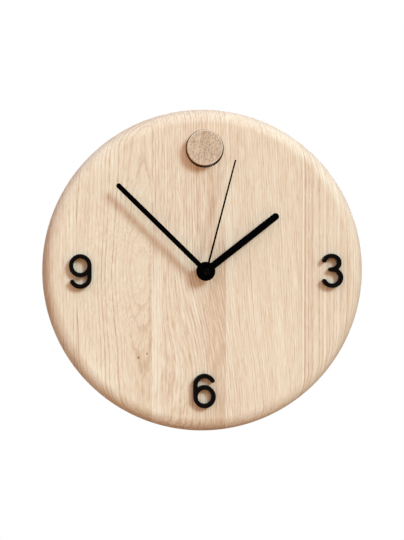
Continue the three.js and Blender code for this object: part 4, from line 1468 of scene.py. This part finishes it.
@dataclass
class CaseCover:
    """The snapped-in rear cover, with a lip inside and raised marks round the setting knob."""

    node: str = "movement_case_cover"
    corner: float = 3 * MM
    thickness: float = 1.2 * MM
    edge: float = 0.3 * MM
    mark_edge: float = 0.08 * MM
    lip_inset: float = 1.8 * MM
    lip_bottom: float = 0.6 * MM
    lip_wall: float = 0.9 * MM
    lip_corner: float = 0.8 * MM
    setting_hole: float = 1.55 * MM
    border: float = 1.1 * MM
    border_step: float = 0.15 * MM
    border_proud: float = 0.22 * MM
    ring_inner: float = 7.3 * MM
    ring_outer: float = 8.1 * MM
    ring_slope: float = 0.1 * MM
    arrow_radius: float = 10.2 * MM
    arrow_width: float = 0.9 * MM
    arrow_sweep: float = 34.0
    arrow_head: float = 12.0
    arrows: tuple[tuple[float, int], ...] = ((200.0, -1), (250.0, 1))
    mark_proud: float = 0.2 * MM
    boss_radius: float = 2.1 * MM
    boss_round: float = 0.2 * MM
    boss_proud: float = 0.3 * MM
    grip_ribs: int = 9
    grip_pitch: float = 1.7 * MM
    grip_half: Point = (0.4 * MM, 2 * MM)
    grip_height: float = 4.4 * MM
    grip_corner: float = 0.38 * MM
    beyond: float = 1 * MM

    @property
    def root(self) -> float:
        """Gives y where the raised marks start inside the lid."""
        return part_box(self.node)[1].y - self.edge

    def lid(self) -> bpy.types.Object:
        """Moulds the plate with its lip and the hole for the setting shaft."""
        low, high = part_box(self.node)
        inner = high.y - self.thickness
        piece = plate("case_cover", framed(self.node, 0.0, self.corner), inner, high.y)
        soften(piece, self.edge)

        def lip_outline(inset: float) -> list[Point]:
            """Gives the lip's outline, drawn in by some more."""
            side, bottom = self.lip_inset + inset, self.lip_bottom + inset
            return between(low.x + side, high.x - side, low.z + bottom, high.z - side, self.lip_corner)

        lip = plate("lip", lip_outline(0.0), low.y, high.y - self.thickness / 2)
        combine(lip, Boolean.CUT, plate("lip_cutter", lip_outline(self.lip_wall), low.y - self.beyond, inner))
        combine(piece, Boolean.ADD, lip)
        hole = rod(
            "hole", middle_of("setting_knob"), self.setting_hole, low.y - self.beyond, high.y + self.beyond,
        )
        combine(piece, Boolean.CUT, hole)
        return piece

    def border_ring(self) -> bpy.types.Object:
        """Makes the raised border round the lid."""
        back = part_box(self.node)[1].y
        gap = self.edge + self.border_step
        inner_gap = gap + self.border
        ring = plate(
            "cover_border", framed(self.node, gap, self.corner - gap), self.root, back + self.border_proud,
        )
        hollow = framed(self.node, inner_gap, self.corner - inner_gap)
        cutter = plate("border_cutter", hollow, self.root - self.beyond, back + self.beyond)
        combine(ring, Boolean.CUT, cutter)
        soften(ring, self.mark_edge, 2)
        return ring

    def marks(self) -> list[bpy.types.Object]:
        """Makes the raised ring and the two turning arrows round the knob."""
        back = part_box(self.node)[1].y
        centre = middle_of("setting_knob")
        top, slope = back + self.boss_proud, self.ring_slope
        wall = [
            (self.ring_inner, self.root), (self.ring_outer, self.root),
            (self.ring_outer - slope, top), (self.ring_inner + slope, top),
        ]
        made = [lathe("knob_ring", wall, centre, 96, Ends.JOINED)]
        half = self.arrow_width / 2
        for start, turn in self.arrows:
            end = start + turn * self.arrow_sweep
            tip = end + turn * self.arrow_head
            outline = arc(centre, self.arrow_radius + half, start, end, 16)
            outline += [
                polar(centre, self.arrow_radius + 4 * half, math.radians(end)),
                polar(centre, self.arrow_radius, math.radians(tip)),
                polar(centre, self.arrow_radius - 4 * half, math.radians(end)),
            ]
            outline += arc(centre, self.arrow_radius - half, end, start, 16)
            made.append(plate("turning_arrow", outline, self.root, back + self.mark_proud))
        return made

    def bosses(self) -> list[bpy.types.Object]:
        """Makes the round bosses over the arbors' pivots."""
        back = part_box(self.node)[1].y
        foot = back + 0.1 * MM
        profile = [(self.boss_radius, self.root), (self.boss_radius, foot)]
        profile += arc((self.boss_radius - self.boss_round, foot), self.boss_round, 0, 90, 4)
        profile += [(0.7 * MM, back + self.boss_proud), (0.5 * MM, back + 0.12 * MM)]
        return [
            lathe("pivot_boss", profile, middle_of(node), 48)
            for node in ("minute_arbor", "fifth_wheel", "stepper_rotor")
        ]

    def grip(self) -> list[bpy.types.Object]:
        """Makes the ribs of the thumb grip."""
        low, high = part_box(self.node)
        made = []
        for i in range(self.grip_ribs):
            x = DIAL.x + (i - (self.grip_ribs - 1) / 2) * self.grip_pitch
            outline = rounded((x, low.z + self.grip_height), self.grip_half, self.grip_corner)
            rib = plate("grip_rib", outline, self.root, high.y + self.mark_proud)
            soften(rib, self.mark_edge, 2)
            made.append(rib)
        return made

    def build(self) -> None:
        """Moulds the cover in one piece with what is raised on it."""
        lid = self.lid()
        raised = [self.border_ring(), *self.marks(), *self.bosses(), *self.grip()]
        combine(lid, Boolean.ADD, gathered("cover_marks", raised))
        dress(lid, COVER_PLASTIC, "clock", self.node, crease=40.0)


@dataclass
class SettingKnob:
    """The ribbed thumb knob at the back, with its shaft and pinion."""

    node: str = "setting_knob"
    radius: float = 6 * MM
    thickness: float = 3 * MM
    ribs: int = 20
    rib_steps: int = 10
    rib_depth: float = 0.35 * MM
    edge: float = 0.3 * MM
    dish_radius: float = 4.4 * MM
    dish_depth: float = 0.7 * MM
    grip_half: Point = (3.6 * MM, 0.75 * MM)
    grip_corner: float = 0.7 * MM
    grip_sunk: float = 0.1 * MM
    grip_edge: float = 0.15 * MM
    shaft_radius: float = 1.25 * MM
    pivot_radius: float = 0.5 * MM
    pivot_length: float = 2.6 * MM
    pinion_teeth: int = 12
    pinion_module: float = 0.45 * MM
    pinion_thickness: float = 1.2 * MM
    pinion_step: float = 0.02 * MM

    def cap(self, axis: Point, front: float, back: float) -> bpy.types.Object:
        """Makes the ribbed cap, dished at the back.

        Args:
            axis: x and z of the knob's axis.
            front: y of its front.
            back: y of its back.

        Returns:
            The cap.
        """
        steps = self.ribs * self.rib_steps
        outline = []
        for i in range(steps):
            angle = 2 * math.pi * i / steps
            dent = self.rib_depth * (0.5 - 0.5 * math.cos(self.ribs * angle))
            outline.append(polar(axis, self.radius - dent, angle))
        knob = plate("setting_knob_cap", outline, front, back)
        soften(knob, self.edge)
        wide, deep = self.dish_radius, self.dish_depth
        dish = lathe("dish", [(wide - deep, back - deep), (wide, back + self.edge)], axis, 96)
        combine(knob, Boolean.CUT, dish)
        return knob

    def pinion(self, axis: Point, shoulder: float) -> bpy.types.Object:
        """Cuts the pinion that meshes with the motion wheel."""
        root = self.pinion_module * (self.pinion_teeth - 2.6) / 2
        tip = self.pinion_module * (self.pinion_teeth + 1.6) / 2
        pitch = 2 * math.pi / self.pinion_teeth
        corners = ((root, -0.3), (tip, -0.11), (tip, 0.11), (root, 0.3))
        outline = [
            polar(axis, radius, (i + share) * pitch)
            for i in range(self.pinion_teeth)
            for radius, share in corners
        ]
        front = shoulder + self.pinion_step
        return plate("setting_pinion", outline, front, front + self.pinion_thickness)

    def build(self) -> None:
        """Makes the knob, with a bar to turn it by, its shaft and its pinion."""
        low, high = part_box(self.node)
        axis = middle_of(self.node)
        front = high.y - self.thickness
        knob = self.cap(axis, front, high.y)
        bar = rounded(axis, self.grip_half, self.grip_corner)
        grip = plate("knob_bar", bar, high.y - 2 * self.dish_depth, high.y - self.grip_sunk)
        soften(grip, self.grip_edge, 2)
        shoulder = low.y + self.pivot_length
        profile = [
            (self.pivot_radius, low.y), (self.pivot_radius, shoulder),
            (self.shaft_radius, shoulder), (self.shaft_radius, front + self.edge),
        ]
        shaft = lathe("setting_shaft", profile, axis, 32)
        combine(knob, Boolean.ADD, grip, shaft, self.pinion(axis, shoulder))
        dress(knob, KNOB_PLASTIC, "setting", self.node)


@dataclass
class Battery:
    """The AA cell: a shrunk sleeve over a steel can, with a nub at its plus end."""

    node: str = "battery_cell"
    nub_radius: float = 2.7 * MM
    nub_length: float = 1.1 * MM
    nub_round: float = 0.4 * MM
    nub_groove: float = 1.4 * MM
    crimp: float = 0.9 * MM
    sleeve_lip: float = 1.3 * MM
    sleeve_sunk: float = 0.15 * MM
    can_sunk: float = 0.05 * MM
    can_gap: float = 0.3 * MM
    can_waist: float = 0.5 * MM
    foot: tuple[Point, ...] = ((0.6 * MM, 0.2 * MM), (1.4 * MM, 0.02 * MM))
    segments: int = 96

    def turned(self, name: str, profile: Sequence[Point]) -> bpy.types.Object:
        """Turns a profile about the cell's own axis, which lies along X.

        Args:
            name: the object's name.
            profile: radius and x of each point.

        Returns:
            The object.
        """
        low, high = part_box(self.node)
        axis = ((low.y + high.y) / 2, (low.z + high.z) / 2)
        rings = [[(x, y, z) for y, z in ring_of(axis, radius, self.segments)] for radius, x in profile]
        return to_object(name, skin(rings))

    def build(self) -> None:
        """Makes the can and its sleeve."""
        low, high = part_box(self.node)
        shoulder = high.x - self.nub_length
        radius = (high.z - low.z) / 2
        inner = radius - self.sleeve_lip
        rim = radius - self.crimp
        sleeve = [(inner, low.x + self.sleeve_sunk)]
        sleeve += arc((rim, low.x + self.crimp), self.crimp, -90, 0, 8)
        sleeve += arc((rim, shoulder - self.crimp), self.crimp, 0, 90, 8)
        sleeve += [(inner, shoulder - self.sleeve_sunk)]
        dress(self.turned("cell_sleeve", sleeve), CELL_SLEEVE, "battery", self.node, crease=40.0)
        seat, waist = shoulder - self.can_sunk, low.x + self.can_waist
        wide, groove = inner - self.can_gap, self.nub_radius + self.nub_groove
        can = [(foot_radius, low.x + depth) for foot_radius, depth in self.foot]
        can += [(wide, low.x + self.foot[-1][1]), (wide, waist), (groove, waist), (groove, seat)]
        can += [(self.nub_radius, seat)]
        can += arc((self.nub_radius - self.nub_round, high.x - self.nub_round), self.nub_round, 0, 90, 6)
        dress(self.turned("cell_can", can), SPRING_STEEL, "battery", crease=40.0)


@dataclass
class Fixings:
    """The brass washer and the chamfered hexagon nut on the dial."""

    across_flats: float = 10 * MM
    bore: float = 4.2 * MM
    chamfer: float = 0.35 * MM
    corner_gap: float = 0.2 * MM
    flat_gap: float = 0.1 * MM
    washer_edge: float = 0.12 * MM

    def nut(self) -> None:
        """Makes the nut, with the chamfer that cuts its corners at both ends."""
        low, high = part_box("fixing_nut")
        corner = self.across_flats / math.sqrt(3)
        nut = plate("dial_nut", ring_of(DIAL_AXIS, corner, 6, math.pi / 2), low.y, high.y)
        flat, wide = self.across_flats / 2 + self.flat_gap, corner + self.corner_gap
        cone = [(flat, low.y), (wide, low.y + self.chamfer), (wide, high.y - self.chamfer), (flat, high.y)]
        combine(nut, Boolean.KEEP, lathe("nut_cone", cone, DIAL_AXIS, 96))
        combine(nut, Boolean.CUT, rod("nut_drill", DIAL_AXIS, self.bore, low.y - 1 * MM, high.y + 1 * MM))
        dress(nut, BRASS, "clock", "fixing_nut", crease=20.0)

    def washer(self) -> None:
        """Makes the washer under the nut."""
        low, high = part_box("brass_washer")
        outer, edge = (high.x - low.x) / 2, self.washer_edge
        profile = [(self.bore, high.y), (self.bore, low.y + edge), (self.bore + edge, low.y)]
        profile += [(outer - edge, low.y), (outer, low.y + edge), (outer, high.y)]
        piece = lathe("dial_washer", profile, DIAL_AXIS, 96, Ends.JOINED)
        dress(piece, BRASS, "clock", "brass_washer", crease=30.0)

    def build(self) -> None:
        """Makes the nut and the washer."""
        self.nut()
        self.washer()


@dataclass
class Movement:
    """The works inside the case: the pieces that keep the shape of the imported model."""

    nodes: tuple[tuple[Finish, tuple[str, ...]], ...] = (
        (RUBBER, ("rubber_washer",)),
        (BRASS, ("minute_arbor",)),
        (SPRING_STEEL, ("clutch_spring", "contact_positive", "contact_negative", "quartz_crystal")),
        (ROTOR_IRON, ("stepper_rotor",)),
        (STATOR_IRON, ("stator", "coil_core")),
        (WHEEL_PLASTIC, (
            "fifth_wheel", "second_wheel", "third_wheel", "centre_wheel", "motion_wheel", "hour_wheel",
            "bridge_plate", "coil_bobbin",
        )),
        (COPPER, ("coil_winding",)),
        (BOARD, ("circuit_board",)),
        (CHIP, ("driver_chip",)),
    )

    def build(self) -> None:
        """Gives every piece of the movement its finish and leaves its shape as it is."""
        for finish, nodes in self.nodes:
            for node in nodes:
                materials = frame["nodes"][node].data.materials
                materials.clear()
                materials.append(finish.material())
                log.info("%s keeps its shape, finish %s", node, finish.name)


# Stage


@dataclass(frozen=True)
class Lamp:
    """A distant lamp: the direction towards it, its strength, colour and apparent size in degrees."""

    name: str
    towards: Place
    strength: float
    tint: Place
    size: float


@dataclass
class Studio:
    """Camera, lamps, floor and background."""

    azimuth: float = -5.25
    elevation: float = 1.77
    distance: float = 1.06
    pixels_per_metre: float = 1448.1
    aim: Place = (-0.28 * MM, 17.5 * MM, 0.12 * MM)
    frame_height: int = 540
    sensor: float = 36.0
    lamps: tuple[Lamp, ...] = (
        Lamp("key", (0.75, -1.0, 0.72), 2.4, (0.57, 0.84, 0.98), 18.0),
        Lamp("back_fill", (0.15, 1.0, 0.12), 1.8, (0.762, 0.895, 1.0), 40.0),
    )
    sky: Colour = (0.70, 0.735, 0.86, 1.0)
    ground: Colour = (0.155, 0.068, 0.016, 1.0)
    front_glow: Colour = (0.38, 0.175, 0.01, 1.0)
    white: Colour = (1.0, 1.0, 1.0, 1.0)
    paper: Colour = (0.9, 0.9, 0.9, 1.0)
    wall_grey_painted_shade: Colour = (0.4, 0.38, 0.35, 1.0)
    floor_height: float = -1.1
    floor_thickness: float = 0.01
    floor_radius: float = 0.5
    patch_depth: float = 0.3 * MM
    segments: int = 96

    def camera(self) -> None:
        """Sets the camera at the photograph's angle."""
        data = bpy.data.cameras.new("camera")
        data.sensor_fit = "VERTICAL"
        data.sensor_height = self.sensor
        data.lens = self.sensor * self.pixels_per_metre * self.distance / self.frame_height
        camera = bpy.data.objects.new("camera", data)
        bpy.context.scene.collection.objects.link(camera)
        target = Vector((DIAL.x, FACE_Y, DIAL.z)) + Vector(self.aim)
        azimuth, elevation = math.radians(self.azimuth), math.radians(self.elevation)
        away = Vector((
            math.sin(azimuth) * math.cos(elevation),
            -math.cos(azimuth) * math.cos(elevation),
            math.sin(elevation),
        ))
        camera.location = target + away * self.distance
        camera.rotation_euler = (-away).to_track_quat("-Z", "Y").to_euler()
        bpy.context.scene.camera = camera

    def hang(self, lamp: Lamp) -> None:
        """Hangs one lamp."""
        data = bpy.data.lights.new(lamp.name, "SUN")
        data.energy = lamp.strength
        data.color = lamp.tint
        data.angle = math.radians(lamp.size)
        piece = bpy.data.objects.new(lamp.name, data)
        bpy.context.scene.collection.objects.link(piece)
        piece.rotation_euler = Vector(lamp.towards).to_track_quat("Z", "Y").to_euler()

    def world(self) -> None:
        """Lights the clock from a pale ceiling and a warmer floor, and shows white past it."""
        world = bpy.data.worlds.new("studio")
        bpy.context.scene.world = world
        world.use_nodes = True
        graph = Graph(world.node_tree)
        _, way_y, way_z = graph.split(graph.out("ShaderNodeTexCoord", key="Generated"))
        room = graph.blend(way_z.rise(-0.5, 0.5), self.ground, self.sky)
        room = graph.blend((0.0 - way_y).rise(0.0, 1.0), room, self.front_glow, "ADD")
        kinds = ("Camera", "Glossy", "Transmission")
        rays = [graph.out("ShaderNodeLightPath", key=f"Is {kind} Ray") for kind in kinds]
        soft = graph.out("ShaderNodeBackground", {0: room, 1: 1.0})
        white = graph.out("ShaderNodeBackground", {0: self.white, 1: 1.0})
        shown = graph.out("ShaderNodeMixShader", {0: rays[0].most(rays[1]).most(rays[2]), 1: soft, 2: white})
        graph.add("ShaderNodeOutputWorld", {0: shown})

    def stage(
        self, piece: bpy.types.Object, name: str, colour: Colour, hidden: Callable[[Graph], Value],
    ) -> None:
        """Paints a piece of the studio, which isn't part of the clock.

        Args:
            piece: the object.
            name: its paint's name.
            colour: its colour.
            hidden: gives where the paint is clear, 0 to 1.
        """
        made = bpy.data.materials.new(name)
        made.use_nodes = True
        graph = Graph(made.node_tree)
        paint = graph.out("ShaderNodeBsdfDiffuse", {0: colour})
        clear = graph.out("ShaderNodeBsdfTransparent")
        shown = graph.out("ShaderNodeMixShader", {0: hidden(graph), 1: paint, 2: clear})
        graph.add("ShaderNodeOutputMaterial", {"Surface": shown})
        piece.data.materials.append(made)

    def floor(self) -> None:
        """Lays a pale floor well below the clock, which fades out towards its rim."""
        floor = rod("floor", (0.0, 0.0), self.floor_radius, -self.floor_thickness, 0.0, self.segments)
        floor.rotation_euler.x = math.pi / 2
        floor.location.z = self.floor_height

        def faded(graph: Graph) -> Value:
            """Gives how far the floor has faded, from its middle outward."""
            x, _, z = graph.place()
            away = (x * x + z * z).root() * MM
            return away.rise(self.floor_radius * 0.35, self.floor_radius * 0.97)

        self.stage(floor, "floor_paper", self.paper, faded)

    def wall_behind_peg(self) -> None:
        """Puts a ring of wall behind the gap round the peg, which only its front side shows. Its mid grey
        stands in for the wall in shade: painted shade that keeps the gap dark.
        """
        hole = ring_of(OakBody.peg_hole, OakBody.peg_hole_radius, self.segments)
        peg = ring_of(PEG_AXIS, WallPeg.radius, self.segments)
        rings = [[(x, self.patch_depth, z) for x, z in ring] for ring in (hole, peg)]
        wall = to_object("wall_patch", skin(rings, Ends.OPEN), solid=False)

        def behind(graph: Graph) -> Value:
            """Gives 1 on the back of the wall."""
            return graph.out("ShaderNodeNewGeometry", key="Backfacing")

        # Painted shade: the wall's darker grey keeps the gap round the peg dark.
        self.stage(wall, "wall_painted_shade", self.wall_grey_painted_shade, behind)

    def build(self) -> None:
        """Sets up everything round the clock."""
        bpy.context.scene.view_settings.view_transform = "Standard"
        self.camera()
        for lamp in self.lamps:
            self.hang(lamp)
        self.world()
        self.floor()
        self.wall_behind_peg()


def main() -> None:
    """Builds the clock and its studio in order."""
    for part in (
        Studio(), OakBody(), WallPeg(), Numerals(), HandSet(), MovementCase(), CaseCover(), SettingKnob(),
        Battery(), Fixings(), Movement(),
    ):
        part.build()
        log.info("%s done", type(part).__name__)


if __name__ == "__main__":
    main()
